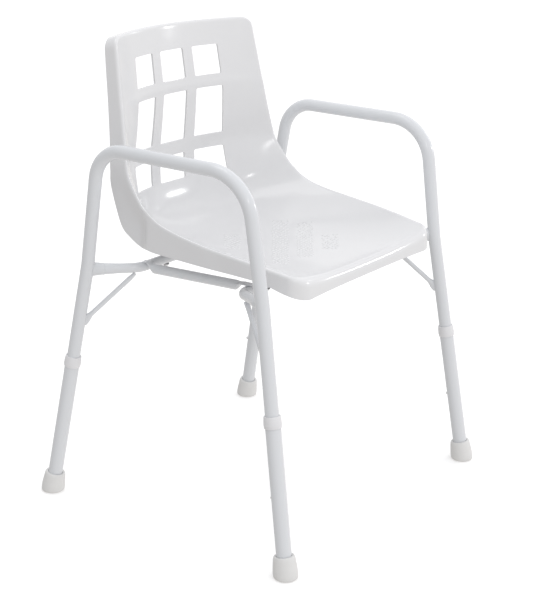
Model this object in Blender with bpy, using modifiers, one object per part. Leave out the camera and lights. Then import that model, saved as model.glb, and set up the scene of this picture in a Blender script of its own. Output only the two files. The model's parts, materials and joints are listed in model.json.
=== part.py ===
"""Shower chair: a one-piece moulded bucket seat on a bent-tube frame with four telescopic legs.

Frame of reference: metres, +Z up, origin on the floor under the middle of the chair.
The sitter faces -Y, so the sitter's right side is at -X and the left side at +X.
"""

import math

import bmesh
import bpy
from mathutils import Matrix, Vector
from mathutils.bvhtree import BVHTree

GAP = 0.0003                    # left between pieces that touch
SHARP_ANGLE = math.radians(35)  # edges sharper than this stay crisp

# Side frames: one bent tube per side, with two legs joined by the armrest
FRAME_TUBE_R = 0.0127
FRAME_TUBE_WALL = 0.0016
ARM_HEIGHT = 0.721              # armrest's centre line
ARM_HALF_SPACING = 0.304        # from the middle plane to the armrest's centre line
ARM_CORNER_Y = 0.171            # where leg and armrest lines would cross
KINK = Vector((0.2995, 0.2075, 0.488))   # where a leg starts to splay outwards
FLOOR_POINT = Vector((0.328, 0.2913, 0.0))  # where a leg's centre line meets the floor
ARM_BEND_FRONT = 0.090          # bend radii at the centre line
ARM_BEND_REAR = 0.070
KINK_BEND = 0.090

# Telescopic legs, measured along a leg's own axis from the floor
LEG_TUBE_R = 0.0143
LEG_BORE_R = 0.0131
LEG_BOTTOM = 0.0126
LEG_TOP = 0.2955
FRAME_LEG_END = 0.1090          # lower end of the frame tube inside the leg
HOLE_PITCH = 0.025
HOLE_COUNT = 7
HOLES_BELOW = 2                 # holes below the one that the button is in
BUTTON_HEIGHT = 0.1494          # the hole that the snap button is in
BUTTON_STEM_R = 0.0032
BUTTON_HOLE_R = 0.0036
BUTTON_TOWARDS = {-1: Vector((0.0, 1.0, 0.0)), 1: Vector((-0.35, 0.94, 0.0))}  # front, rear

# Guide collar on top of each leg
COLLAR_BOTTOM = 0.2805
COLLAR_TOP = 0.3030
COLLAR_R = 0.0162

# Rubber foot
FOOT_TOP = 0.0420
FOOT_FLOOR = 0.0100             # bottom of its socket
FOOT_TOP_R = 0.0199
FOOT_MAX_R = 0.0231

# Cross tubes under the seat
CROSS_TUBE_R = 0.0095
CROSS_TUBE_WALL = 0.0015
CROSS_Z = 0.4780
JOINT_Z = {-1: 0.4940, 1: 0.4780}  # where the front and rear tubes meet their legs
CROSS_BEND = 0.040
REAR_ELBOW = Vector((0.2280, 0.1390, CROSS_Z))
FRONT_ELBOW = Vector((0.2280, -0.1070, CROSS_Z))
SOCKET_LEG_R = 0.0132           # flared where it meets the leg
SOCKET_END_R = 0.0115
SOCKET_LENGTH = 0.0200
SOCKET_EDGE = 0.0007
CROSS_TUBE_INSET = 0.0050       # from the leg's skin to the end of the cross tube
COPE_REACH = 0.060              # length of leg considered on each side of a joint

# Rails that carry the seat
RAIL_R = 0.0095
RAIL_TONGUE_HALF_THICKNESS = 0.0016
RAIL_TONGUE_HALF_WIDTH = 0.0100
RAIL_REAR = Vector((0.2140, 0.1120, 0.4775))
RAIL_FRONT = Vector((0.2070, -0.0780, 0.4830))
RAIL_TAPER = 0.016
RAIL_TONGUE = {-1: 0.020, 1: 0.009}  # flat length at the front and rear ends
RAIL_VENT_R = 0.0020            # hole below each rail that lets the paint drain
RAIL_VENT_SHARE = 0.90          # along the rail, from its rear end

# Braces between legs and cross tubes
BRACE_R = 0.0047
BRACE_LEG_HEIGHT = {-1: 0.3720, 1: 0.3605}  # front and rear
BRACE_TOP_SHARE = {-1: 0.25, 1: 0.09}       # from the elbow to the leg
BRACE_TOP_DROP = 0.0115         # below the cross tube's axis

# Seat bolts
BOLT_R = 0.0030
BOLT_HOLE_R = 0.0034
BOLT_HEAD_R = 0.0052
BOLT_HEAD_HEIGHT = 0.0030
BOLT_X = 0.1500
BOLT_REACH = 0.0280             # of the shank above the cross tube's axis
WASHER_R = 0.0068
WASHER_THICKNESS = 0.0012
BOSS_R = 0.0110

# Seat shell
SHELL_THICKNESS = 0.0036
SIDE_ROLL = 0.009               # size of the rounded edge between seat and side skirt
FRONT_ROLL = 0.018
TOP_ROLL = 0.008
FRONT_CORNER_R = 0.032
TOP_CORNER_R = 0.022
CORNER_REACH = 0.075            # how far from an end a corner bends the rows
CORNER_BLEND = 1.6              # how soon the end's lip turns into the side's round a corner
RIM_STEPS = 3
SKIRT_SHARES = (0.55, 1.0)      # of the skirt's depth, where its rings lie
STEP_DEPTH = 0.012              # how far each side skirt steps in behind the seat
STEP_START_Y = 0.106
STEP_WIDTH = 0.040
STEP_FADE_Z = 0.570             # the step dies out from here up
STEP_FADE_HEIGHT = 0.110
STEP_DROP = 0.75                # of the step, by which the skirt is longer there
BOSS_SIDES = 12

# The shell's stations, from the front edge over the seat to the top of the back.
# Each has the middle line's (y, z), the rim's (x, y, z), the skirt's lower edge (x, y, z)
# and the power with which the surface climbs from the middle to the rim.
STATIONS = [
    ((-0.2330, 0.5150), (0.2320, -0.2410, 0.5310), (0.2340, -0.2410, 0.4940), 3.2),
    ((-0.2030, 0.5090), (0.2350, -0.2050, 0.5355), (0.2380, -0.2100, 0.4985), 3.0),
    ((-0.1600, 0.5055), (0.2400, -0.1580, 0.5430), (0.2440, -0.1620, 0.5115), 2.9),
    ((-0.1000, 0.5030), (0.2445, -0.1070, 0.5500), (0.2490, -0.1090, 0.5160), 2.8),
    ((-0.0350, 0.5020), (0.2470, -0.0450, 0.5575), (0.2515, -0.0480, 0.5180), 2.8),
    ((0.0350, 0.5025), (0.2450, 0.0110, 0.5655), (0.2500, 0.0030, 0.5190), 2.8),
    ((0.1000, 0.5050), (0.2430, 0.0480, 0.5730), (0.2485, 0.0600, 0.5205), 2.8),
    ((0.1520, 0.5100), (0.2430, 0.0710, 0.5800), (0.2480, 0.0950, 0.5225), 2.8),
    ((0.1960, 0.5220), (0.2430, 0.0890, 0.5885), (0.2470, 0.1230, 0.5300), 2.8),
    ((0.2270, 0.5470), (0.2430, 0.1040, 0.5990), (0.2460, 0.1490, 0.5420), 2.8),
    ((0.2440, 0.5910), (0.2425, 0.1190, 0.6110), (0.2445, 0.1750, 0.5640), 2.7),
    ((0.2472, 0.6440), (0.2390, 0.1505, 0.6520), (0.2415, 0.1980, 0.6290), 2.65),
    ((0.2465, 0.6720), (0.2360, 0.1605, 0.6800), (0.2385, 0.2020, 0.6640), 2.6),
    ((0.2420, 0.7220), (0.2305, 0.1700, 0.7245), (0.2330, 0.2070, 0.7150), 2.4),
    ((0.2388, 0.7740), (0.2255, 0.1800, 0.7750), (0.2280, 0.2135, 0.7690), 2.2),
    ((0.2412, 0.7990), (0.2230, 0.1855, 0.7995), (0.2255, 0.2170, 0.7950), 2.2),
    ((0.2503, 0.8590), (0.2170, 0.1970, 0.8595), (0.2200, 0.2260, 0.8560), 2.1),
    ((0.2585, 0.9110), (0.2125, 0.2070, 0.9110), (0.2155, 0.2330, 0.9060), 2.0),
]
FRONT_LIP_Z = 0.4872            # lower edge of the front lip
FRONT_LIP_LEAN = -0.0040
TOP_LIP = Vector((0.0, 0.0230, -0.0060))   # from the top rim to the back edge of its flange

# Windows in the back: three rows between stations, three columns between shares of the width
WINDOW_ROWS = [(10.0, 11.0), (12.0, 14.0), (15.0, 16.0)]
WINDOW_COLUMNS = [(-0.590, -0.282), (-0.162, 0.162), (0.282, 0.590)]
SHELL_ROWS = [0.0, 0.5, 1.2, 2.2, 3.4, 4.7, 6.0, 6.9, 7.6, 8.2, 8.8, 9.4, 10.0,
              11.0, 12.0, 13.0, 14.0, 15.0, 16.0, 16.4, 16.75, 17.0]
SHELL_COLUMNS = [0.162, 0.282, 0.436, 0.590, 0.740]
CORNER_STEPS = 3

SIDES = {"right": -1, "left": 1}
ENDS = {"front": -1, "rear": 1}

parts = None
cutters = None


def start_scene():
    """Empty the file and make the two collections."""
    global parts, cutters
    for thing in list(bpy.data.objects):
        bpy.data.objects.remove(thing)
    parts = bpy.data.collections.new("shower_chair")
    cutters = bpy.data.collections.new("cutters")
    bpy.context.scene.collection.children.link(parts)
    bpy.context.scene.collection.children.link(cutters)


# ---------------------------------------------------------------- materials

def make_material(name, colour, roughness, metallic=0.0):
    material = bpy.data.materials.new(name)
    material.use_nodes = True
    shader = material.node_tree.nodes["Principled BSDF"]
    shader.inputs["Base Color"].default_value = (*colour, 1.0)
    shader.inputs["Roughness"].default_value = roughness
    shader.inputs["Metallic"].default_value = metallic
    return material


def make_materials():
    return {
        "seat_plastic": make_material("seat_plastic", (0.84, 0.84, 0.86), 0.25),
        "white_paint": make_material("white_paint", (0.76, 0.78, 0.80), 0.30),
        "collar_plastic": make_material("collar_plastic", (0.82, 0.82, 0.84), 0.40),
        "foot_rubber": make_material("foot_rubber", (0.76, 0.75, 0.74), 0.65),
        "bright_steel": make_material("bright_steel", (0.62, 0.62, 0.63), 0.30, 1.0),
        "spring_steel": make_material("spring_steel", (0.45, 0.46, 0.48), 0.35, 1.0),
    }


# ---------------------------------------------------------------- helpers

def add_object(name, mesh, material=None, collection=None):
    thing = bpy.data.objects.new(name, mesh)
    (collection or parts).objects.link(thing)
    if material:
        mesh.materials.clear()
        mesh.materials.append(material)
    return thing


def finish_mesh(bm, name):
    bmesh.ops.recalc_face_normals(bm, faces=bm.faces)
    mesh = bpy.data.meshes.new(name)
    bm.to_mesh(mesh)
    bm.free()
    mesh.shade_smooth()
    mesh.set_sharp_from_angle(angle=SHARP_ANGLE)
    return mesh


def as_cutter(thing):
    thing.hide_render = True
    thing.display_type = "WIRE"
    for collection in list(thing.users_collection):
        collection.objects.unlink(thing)
    cutters.objects.link(thing)
    return thing


def add_boolean(thing, cutter, operation="DIFFERENCE"):
    modifier = thing.modifiers.new(cutter.name, "BOOLEAN")
    modifier.operation = operation
    modifier.solver = "EXACT"
    modifier.object = cutter


def rounded_path(corners, radii, steps):
    """The points of a path through corners, each inner corner rounded to its radius."""
    path = [Vector(corners[0])]
    for before, corner, after, radius in zip(corners, corners[1:], corners[2:], radii):
        corner = Vector(corner)
        back = (Vector(before) - corner).normalized()
        ahead = (Vector(after) - corner).normalized()
        half = back.angle(ahead) / 2
        centre = corner + (back + ahead).normalized() * radius / math.sin(half)
        first = corner + back * radius / math.tan(half) - centre
        last = corner + ahead * radius / math.tan(half) - centre
        for step in range(steps + 1):
            spoke = first.slerp(last, step / steps).normalized() * radius
            path.append(centre + spoke)
    path.append(Vector(corners[-1]))
    return path


def tube_curve(name, path, radius, resolution, caps):
    curve = bpy.data.curves.new(name, "CURVE")
    curve.dimensions = "3D"
    curve.render_resolution_u = 0
    curve.bevel_depth = radius
    curve.bevel_resolution = resolution
    curve.use_fill_caps = caps
    spline = curve.splines.new("POLY")
    spline.points.add(len(path) - 1)
    for point, place in zip(spline.points, path):
        point.co = (*place, 1.0)
    thing = bpy.data.objects.new(name, curve)
    parts.objects.link(thing)
    return thing


def curve_to_mesh(thing, material):
    """Replace a curve object by a mesh object of the same name, its caps welded."""
    name = thing.name
    bpy.context.view_layer.update()
    evaluated = thing.evaluated_get(bpy.context.evaluated_depsgraph_get())
    mesh = bpy.data.meshes.new_from_object(evaluated)
    place = thing.matrix_world.copy()
    bpy.data.objects.remove(thing)
    bm = bmesh.new()
    bm.from_mesh(mesh)
    bmesh.ops.remove_doubles(bm, verts=bm.verts, dist=0.00001)
    bm.to_mesh(mesh)
    bm.free()
    mesh.shade_smooth()
    mesh.set_sharp_from_angle(angle=SHARP_ANGLE)
    made = add_object(name, mesh, material)
    made.matrix_world = place
    return made


def hollow_tube(name, path, radius, wall, resolution, material):
    """An open-ended tube: the outer skin from a curve, its wall from Solidify."""
    thing = curve_to_mesh(tube_curve(name, path, radius, resolution, False), material)
    wall_modifier = thing.modifiers.new("wall", "SOLIDIFY")
    wall_modifier.thickness = wall
    wall_modifier.offset = -1.0
    wall_modifier.use_even_offset = True
    return thing


def turned_mesh(name, profile, closed, steps):
    """A closed round solid about local Z from (radius, height) points.

    An open profile starts and ends on the axis, and a closed one makes a ring.
    """
    bm = bmesh.new()
    rings = []
    for radius, height in profile:
        if radius == 0.0:
            rings.append([bm.verts.new((0.0, 0.0, height))])
            continue
        ring = []
        for step in range(steps):
            turn = 2 * math.pi * step / steps
            ring.append(bm.verts.new((radius * math.cos(turn), radius * math.sin(turn), height)))
        rings.append(ring)
    pairs = list(zip(rings, rings[1:]))
    if closed:
        pairs.append((rings[-1], rings[0]))
    for low, high in pairs:
        for step in range(steps):
            after = (step + 1) % steps
            corners = [low[step % len(low)], low[after % len(low)]]
            corners += [high[after % len(high)], high[step % len(high)]]
            face = list(dict.fromkeys(corners))
            bm.faces.new(face)
    return finish_mesh(bm, name)


def axis_matrix(origin, along, towards):
    """A frame at origin with +Z along one direction and +X as near as can be to another."""
    z = Vector(along).normalized()
    x = Vector(towards) - z * Vector(towards).dot(z)
    x.normalize()
    y = z.cross(x)
    matrix = Matrix((x, y, z)).transposed().to_4x4()
    matrix.translation = Vector(origin)
    return matrix


def round_cutter(name, start, end, radius, sides=10):
    """A cylinder from start to end, for cutting."""
    start, end = Vector(start), Vector(end)
    bm = bmesh.new()
    bmesh.ops.create_cone(bm, cap_ends=True, segments=sides, radius1=radius, radius2=radius,
                          depth=(end - start).length)
    thing = add_object(name, finish_mesh(bm, name))
    thing.matrix_world = axis_matrix((start + end) / 2, end - start, (0.3, 0.2, 0.9))
    return as_cutter(thing)


# ---------------------------------------------------------------- side frames and legs

def mirrored(point, side, end):
    return Vector((point.x * side, point.y * end, point.z))


def leg_matrix(side, end):
    """A leg's own frame: origin on the floor, +Z up the leg, +X where its button points."""
    foot = mirrored(FLOOR_POINT, side, end)
    kink = mirrored(KINK, side, end)
    return axis_matrix(foot, kink - foot, mirrored(BUTTON_TOWARDS[end], side, 1))


def leg_point(side, end, height):
    """The point of a leg's lower centre line at a height above the floor."""
    foot = mirrored(FLOOR_POINT, side, end)
    kink = mirrored(KINK, side, end)
    return foot.lerp(kink, height / KINK.z)


def make_side_frame(name, side, materials):
    corners = [
        leg_matrix(side, 1) @ Vector((0, 0, FRAME_LEG_END)),
        mirrored(KINK, side, 1),
        Vector((ARM_HALF_SPACING * side, ARM_CORNER_Y, ARM_HEIGHT)),
        Vector((ARM_HALF_SPACING * side, -ARM_CORNER_Y, ARM_HEIGHT)),
        mirrored(KINK, side, -1),
        leg_matrix(side, -1) @ Vector((0, 0, FRAME_LEG_END)),
    ]
    path = rounded_path(corners, [KINK_BEND, ARM_BEND_REAR, ARM_BEND_FRONT, KINK_BEND], 5)
    frame = hollow_tube(name, path, FRAME_TUBE_R, FRAME_TUBE_WALL, 4,
                        materials["white_paint"])
    for end_name, end in ENDS.items():
        place = leg_matrix(side, end)
        start = place @ Vector((FRAME_TUBE_R * 0.5, 0, BUTTON_HEIGHT))
        stop = place @ Vector((FRAME_TUBE_R * 1.5, 0, BUTTON_HEIGHT))
        add_boolean(frame, round_cutter(f"{name}_{end_name}_hole", start, stop, BUTTON_HOLE_R))
    return frame


def leg_extension_mesh():
    profile = [(LEG_TUBE_R, LEG_TOP), (LEG_TUBE_R, LEG_BOTTOM),
               (LEG_BORE_R, LEG_BOTTOM), (LEG_BORE_R, LEG_TOP)]
    return turned_mesh("leg_extension", profile, True, 18)


def collar_mesh():
    """A cap that closes the leg's top and slides on the frame tube."""
    skirt_bore = LEG_TUBE_R + GAP
    neck_bore = FRAME_TUBE_R + GAP
    web = LEG_TOP + GAP
    profile = [(COLLAR_R - 0.0016, COLLAR_TOP), (COLLAR_R - 0.0008, COLLAR_TOP - 0.0012),
               (COLLAR_R, COLLAR_TOP - 0.0042), (COLLAR_R, COLLAR_BOTTOM + 0.0008),
               (COLLAR_R - 0.0006, COLLAR_BOTTOM), (skirt_bore, COLLAR_BOTTOM),
               (skirt_bore, web), (neck_bore, web), (neck_bore, COLLAR_TOP)]
    return turned_mesh("collar", profile, True, 18)


def foot_mesh():
    """A rubber ferrule that reaches a little below the floor, to be cut level."""
    bore = LEG_TUBE_R + GAP
    profile = [(0.0, -0.0060), (0.0200, -0.0060), (0.0220, 0.0030), (FOOT_MAX_R, 0.0120),
               (FOOT_TOP_R + 0.0006, FOOT_TOP - 0.0020), (FOOT_TOP_R - 0.0008, FOOT_TOP),
               (bore, FOOT_TOP), (bore, FOOT_FLOOR), (0.0, FOOT_FLOOR)]
    return turned_mesh("foot", profile, False, 18)


def foot_washer_mesh():
    top = LEG_BOTTOM - GAP
    profile = [(LEG_TUBE_R - 0.0004, top), (LEG_TUBE_R - 0.0004, FOOT_FLOOR + GAP),
               (0.0040, FOOT_FLOOR + GAP), (0.0040, top)]
    return turned_mesh("foot_washer", profile, True, 12)


def snap_button_mesh():
    """A headed pin with a domed end, along local Z."""
    profile = [(0.0, 0.0080), (0.0048, 0.0080), (0.0048, 0.0092), (BUTTON_STEM_R, 0.0092),
               (BUTTON_STEM_R, 0.0166), (0.0026, 0.0176), (0.0013, 0.0181), (0.0, 0.0182)]
    return turned_mesh("snap_button", profile, False, 10)


def button_spring_mesh():
    """A V of flat spring steel: one arm behind the button, the other on the far wall."""
    half_width = 0.0030
    path = [(0.0072, -0.0080), (0.0072, 0.0050), (0.0030, 0.0330), (0.0016, 0.0395),
            (-0.0004, 0.0420), (-0.0026, 0.0400), (-0.0045, 0.0330), (-0.0096, -0.0100)]
    bm = bmesh.new()
    rows = []
    for x, z in path:
        rows.append([bm.verts.new((x, y, z)) for y in (-half_width, half_width)])
    for low, high in zip(rows, rows[1:]):
        bm.faces.new((low[0], low[1], high[1], high[0]))
    return finish_mesh(bm, "button_spring")


def make_leg(leg_name, side, end, meshes, materials):
    """One telescopic leg: tube, collar, foot and washer on the slide's axis, and the button."""
    place = leg_matrix(side, end)
    axis = bpy.data.objects.new(f"{leg_name}_axis", None)
    parts.objects.link(axis)
    axis.matrix_world = place

    def on_axis(prefix, mesh, material):
        thing = add_object(f"{prefix}_{leg_name}", mesh.copy(), material)
        thing.parent = axis
        return thing

    extension = on_axis("leg_extension", meshes["leg_extension"], materials["white_paint"])
    for hole in range(HOLE_COUNT):
        height = BUTTON_HEIGHT + (hole - HOLES_BELOW) * HOLE_PITCH
        start = place @ Vector((LEG_TUBE_R * 0.5, 0, height))
        stop = place @ Vector((LEG_TUBE_R * 1.5, 0, height))
        cutter = round_cutter(f"{leg_name}_hole_{hole}", start, stop, BUTTON_HOLE_R, 8)
        add_boolean(extension, cutter)
    on_axis("collar", meshes["collar"], materials["collar_plastic"])
    foot = on_axis("foot", meshes["foot"], materials["foot_rubber"])
    add_boolean(foot, bpy.data.objects["floor_cutter"])
    on_axis("foot_washer", meshes["foot_washer"], materials["bright_steel"])

    spring = on_axis("button_spring", meshes["button_spring"], materials["spring_steel"])
    spring.location = (0.0, 0.0, BUTTON_HEIGHT)
    leaf = spring.modifiers.new("leaf", "SOLIDIFY")
    leaf.thickness = 0.0008
    leaf.offset = 0.0
    button = on_axis("snap_button", meshes["snap_button"], materials["bright_steel"])
    button.location = (0.0, 0.0, BUTTON_HEIGHT)
    button.rotation_euler = (0.0, math.pi / 2, 0.0)


def make_legs(materials):
    bm = bmesh.new()
    bmesh.ops.create_cube(bm, size=1.0)
    floor = add_object("floor_cutter", finish_mesh(bm, "floor_cutter"))
    floor.scale = (2.0, 2.0, 0.1)
    floor.location = (0.0, 0.0, -0.05)
    as_cutter(floor)
    meshes = {
        "leg_extension": leg_extension_mesh(),
        "collar": collar_mesh(),
        "foot": foot_mesh(),
        "foot_washer": foot_washer_mesh(),
        "snap_button": snap_button_mesh(),
        "button_spring": button_spring_mesh(),
    }
    for end_name, end in ENDS.items():
        for side_name, side in SIDES.items():
            make_leg(f"{end_name}_{side_name}", side, end, meshes, materials)


# ---------------------------------------------------------------- cross tubes, rails, braces

def elbow_of(side, end):
    elbow = REAR_ELBOW if end > 0 else FRONT_ELBOW
    return Vector((elbow.x * side, elbow.y, elbow.z))


def socket_ends(side, end):
    """Where a socket leaves its leg, and the direction from there to the elbow."""
    start = leg_point(side, end, JOINT_Z[end])
    return start, (elbow_of(side, end) - start).normalized()


def leg_cutter(name, side, end, height):
    """The frame tube's outside and its gap, near a height above the floor, for coping."""
    low = leg_point(side, end, height - COPE_REACH)
    high = leg_point(side, end, height + COPE_REACH)
    return round_cutter(name, low, high, FRAME_TUBE_R + GAP, 16)


def make_cross_tube(end_name, end, materials):
    ends = {side: socket_ends(side, end) for side in (-1, 1)}
    inset = FRAME_TUBE_R + CROSS_TUBE_INSET
    corners = [ends[-1][0] + ends[-1][1] * inset, elbow_of(-1, end),
               elbow_of(1, end), ends[1][0] + ends[1][1] * inset]
    path = rounded_path(corners, [CROSS_BEND, CROSS_BEND], 4)
    clearance = tube_curve(f"{end_name}_tube_cutter", path, CROSS_TUBE_R + GAP, 3, True)
    as_cutter(curve_to_mesh(clearance, None))
    tube = hollow_tube(f"{end_name}_cross_tube", path, CROSS_TUBE_R, CROSS_TUBE_WALL, 3,
                       materials["white_paint"])
    for side_name, side in SIDES.items():
        middle = bolt_point(side, end)
        reach = Vector((0, 0, CROSS_TUBE_R * 2))
        add_boolean(tube, round_cutter(f"{end_name}_{side_name}_hole", middle - reach,
                                       middle + reach, BOLT_HOLE_R, 10))
    return tube


def bolt_point(side, end):
    """Where a seat bolt crosses the axis of its cross tube."""
    return Vector((BOLT_X * side, elbow_of(side, end).y, CROSS_Z))


def make_socket(name, side, end, materials):
    """A short sleeve between leg and cross tube, coped to the leg."""
    start, direction = socket_ends(side, end)
    bore = CROSS_TUBE_R + GAP
    far = FRAME_TUBE_R + SOCKET_LENGTH
    near = FRAME_TUBE_R * 0.4
    profile = [(SOCKET_END_R, far - SOCKET_EDGE), (SOCKET_END_R, far * 0.72),
               (SOCKET_LEG_R, FRAME_TUBE_R), (SOCKET_LEG_R, near), (bore, near), (bore, far),
               (SOCKET_END_R - SOCKET_EDGE, far)]
    socket = add_object(name, turned_mesh(name, profile, True, 14), materials["white_paint"])
    socket.matrix_world = axis_matrix(start, direction, (0, 0, 1))
    add_boolean(socket, leg_cutter(f"{name}_leg", side, end, JOINT_Z[end]))
    return socket


def loft(name, sections, sides, material):
    """A closed solid through elliptical sections of (centre, half width, half height)."""
    along = (Vector(sections[-1][0]) - Vector(sections[0][0])).normalized()
    across = along.cross(Vector((0, 0, 1))).normalized()
    bm = bmesh.new()
    rings = []
    for centre, half_width, half_height in sections:
        ring = []
        for step in range(sides):
            turn = 2 * math.pi * (step + 0.5) / sides
            offset = across * half_width * math.cos(turn)
            offset += Vector((0, 0, half_height * math.sin(turn)))
            ring.append(bm.verts.new(Vector(centre) + offset))
        rings.append(ring)
    for low, high in zip(rings, rings[1:]):
        for step in range(sides):
            after = (step + 1) % sides
            bm.faces.new((low[step], low[after], high[after], high[step]))
    bm.faces.new(rings[0])
    bm.faces.new(rings[-1])
    return add_object(name, finish_mesh(bm, name), material)


def rail_point(side, share):
    rear = Vector((RAIL_REAR.x * side, RAIL_REAR.y, RAIL_REAR.z))
    front = Vector((RAIL_FRONT.x * side, RAIL_FRONT.y, RAIL_FRONT.z))
    return rear.lerp(front, share)


def make_rail(name, side, materials):
    """A round tube whose ends are pressed flat and lie on the two cross tubes."""
    rear, front = rail_point(side, 0.0), rail_point(side, 1.0)
    along = (front - rear).normalized()
    tongue_z = CROSS_Z + CROSS_TUBE_R + GAP + RAIL_TONGUE_HALF_THICKNESS

    def tongue(end_point, direction, length):
        flat = (RAIL_TONGUE_HALF_WIDTH, RAIL_TONGUE_HALF_THICKNESS)
        near = end_point + direction * RAIL_TAPER
        far = end_point + direction * (RAIL_TAPER + length)
        near.z = far.z = tongue_z
        return [((far.x, far.y, far.z), *flat), ((near.x, near.y, near.z), *flat)]

    sections = tongue(rear, -along, RAIL_TONGUE[1])
    sections += [(rear, RAIL_R, RAIL_R), (front, RAIL_R, RAIL_R)]
    sections += reversed(tongue(front, along, RAIL_TONGUE[-1]))
    rail = loft(name, sections, 14, materials["white_paint"])
    bore_r = RAIL_R - CROSS_TUBE_WALL
    add_boolean(rail, round_cutter(f"{name}_bore", rail_point(side, 0.03),
                                   rail_point(side, 0.97), bore_r, 12))
    middle = rail_point(side, RAIL_VENT_SHARE)
    below = middle - Vector((0, 0, RAIL_R * 2))
    add_boolean(rail, round_cutter(f"{name}_vent", below, middle, RAIL_VENT_R, 10))
    return rail


def make_brace(name, side, end, materials):
    """A thin rod from the leg up to the cross tube, its lower end flattened and flared."""
    low = leg_point(side, end, BRACE_LEG_HEIGHT[end])
    high = elbow_of(side, end).lerp(socket_ends(side, end)[0], BRACE_TOP_SHARE[end])
    high.z -= BRACE_TOP_DROP
    rod = tube_curve(name, [low, high], BRACE_R, 2, True)
    brace = curve_to_mesh(rod, materials["white_paint"])
    add_boolean(brace, leg_cutter(f"{name}_leg", side, end, BRACE_LEG_HEIGHT[end]))
    end_name = "rear" if end > 0 else "front"
    add_boolean(brace, bpy.data.objects[f"{end_name}_tube_cutter"])
    return brace


# ---------------------------------------------------------------- seat shell

def through(values, place):
    """A smooth curve through evenly numbered values (Catmull-Rom), read at a place."""
    last = len(values) - 1
    index = min(int(place), last - 1)
    share = place - index
    before = values[index - 1] if index > 0 else values[0] * 2 - values[1]
    first, second = values[index], values[index + 1]
    after = values[index + 2] if index + 2 <= last else values[last] * 2 - values[last - 1]
    return 0.5 * (2 * first + (second - before) * share
                  + (2 * before - 5 * first + 4 * second - after) * share ** 2
                  + (3 * first - before - 3 * second + after) * share ** 3)


class ShellSurface:
    """The shell's sitting side as a function of station number and share of the half width."""

    def __init__(self):
        self.middle = [Vector((0.0, *row[0])) for row in STATIONS]
        self.rim = [Vector(row[1]) for row in STATIONS]
        self.edge = [Vector(row[2]) for row in STATIONS]
        self.power = [row[3] for row in STATIONS]

    def point(self, station, share):
        middle = through(self.middle, station)
        rim = through(self.rim, station)
        climb = abs(share) ** through(self.power, station)
        rise = (rim - middle) * climb
        return Vector((rim.x * share, middle.y + rise.y, middle.z + rise.z))

    def skirt(self, station, share):
        """From a point of the rim to the skirt's lower edge below or behind it."""
        side = through(self.edge, station) - through(self.rim, station)
        return Vector((math.copysign(side.x, share), side.y, side.z))


def corner_turn(share, half_width, radius):
    """The sine of the angle turned round an end's corner at this share of the half width."""
    beyond = abs(share) * half_width - (half_width - radius)
    return min(max(beyond / radius, 0.0), 1.0)


def shell_columns(half_width):
    """Shares of the half width for the grid's columns, closer together round the corners."""
    outer = []
    for step in range(CORNER_STEPS + 1):
        turn = math.pi / 2 * step / CORNER_STEPS
        outer.append(1 - FRONT_CORNER_R / half_width * (1 - math.sin(turn)))
    half = SHELL_COLUMNS + outer
    return [-share for share in reversed(half)] + half


def bent_station(surface, station, share):
    """The station of a grid point once the rounded corners have drawn the end rows in."""
    last = len(STATIONS) - 1
    front_step = (surface.rim[1] - surface.rim[0]).length
    top_step = (surface.rim[last] - surface.rim[last - 1]).length
    from_front = station < last / 2
    step = front_step if from_front else top_step
    distance = (station if from_front else last - station) * step
    if distance >= CORNER_REACH:
        return station
    radius = FRONT_CORNER_R if from_front else TOP_CORNER_R
    half_width = surface.rim[0 if from_front else last].x
    turn = corner_turn(share, half_width, radius)
    bend = radius * (1 - math.sqrt(1 - turn ** 2))
    distance = bend + distance * (1 - bend / CORNER_REACH)
    return distance / step if from_front else last - distance / step


def in_window(row_a, row_b, share_a, share_b):
    row, share = (row_a + row_b) / 2, (share_a + share_b) / 2
    rows = any(low < row < high for low, high in WINDOW_ROWS)
    columns = any(low < share < high for low, high in WINDOW_COLUMNS)
    return rows and columns


def skirt_vector(surface, station, share, crest, on_side, from_front):
    """The skirt's direction and depth at a point of the rim, blended round the corners."""
    end = TOP_LIP
    if from_front:
        end = Vector((0.0, FRONT_LIP_LEAN, FRONT_LIP_Z - crest.z))
    return surface.skirt(station, share).lerp(end, (1.0 - on_side) ** CORNER_BLEND)


def smooth(share):
    share = min(max(share, 0.0), 1.0)
    return share * share * (3 - 2 * share)


def step_in(point, down, depth_share, on_side):
    """Draws a point of the side skirt in behind the seat, and lengthens the skirt there."""
    depth = STEP_DEPTH * smooth((point.y - STEP_START_Y) / STEP_WIDTH) * on_side
    depth *= 1 - smooth((point.z - STEP_FADE_Z) / STEP_FADE_HEIGHT)
    depth *= min(1.0, depth_share * 1.6)
    inwards = Vector((-math.copysign(depth, point.x), 0, 0))
    return point + inwards + down.normalized() * depth * depth_share * STEP_DROP


def rim_ring(surface, station, share, crest, inner, on_side, from_front):
    """Points from the seat over the rolled rim and down the skirt, at one place of the edge."""
    down = skirt_vector(surface, station, share, crest, on_side, from_front)
    end_roll = FRONT_ROLL if from_front else TOP_ROLL
    roll = end_roll + (SIDE_ROLL - end_roll) * on_side
    start = crest + (inner - crest).normalized() * roll
    stop = crest + down.normalized() * roll
    ring = []
    for step in range(RIM_STEPS + 1):
        place = step / RIM_STEPS
        ring.append(start * (1 - place) ** 2 + crest * 2 * place * (1 - place)
                    + stop * place ** 2)
    for depth_share in SKIRT_SHARES:
        point = crest + down * depth_share
        ring.append(step_in(point, down, depth_share, on_side))
    return ring


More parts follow.
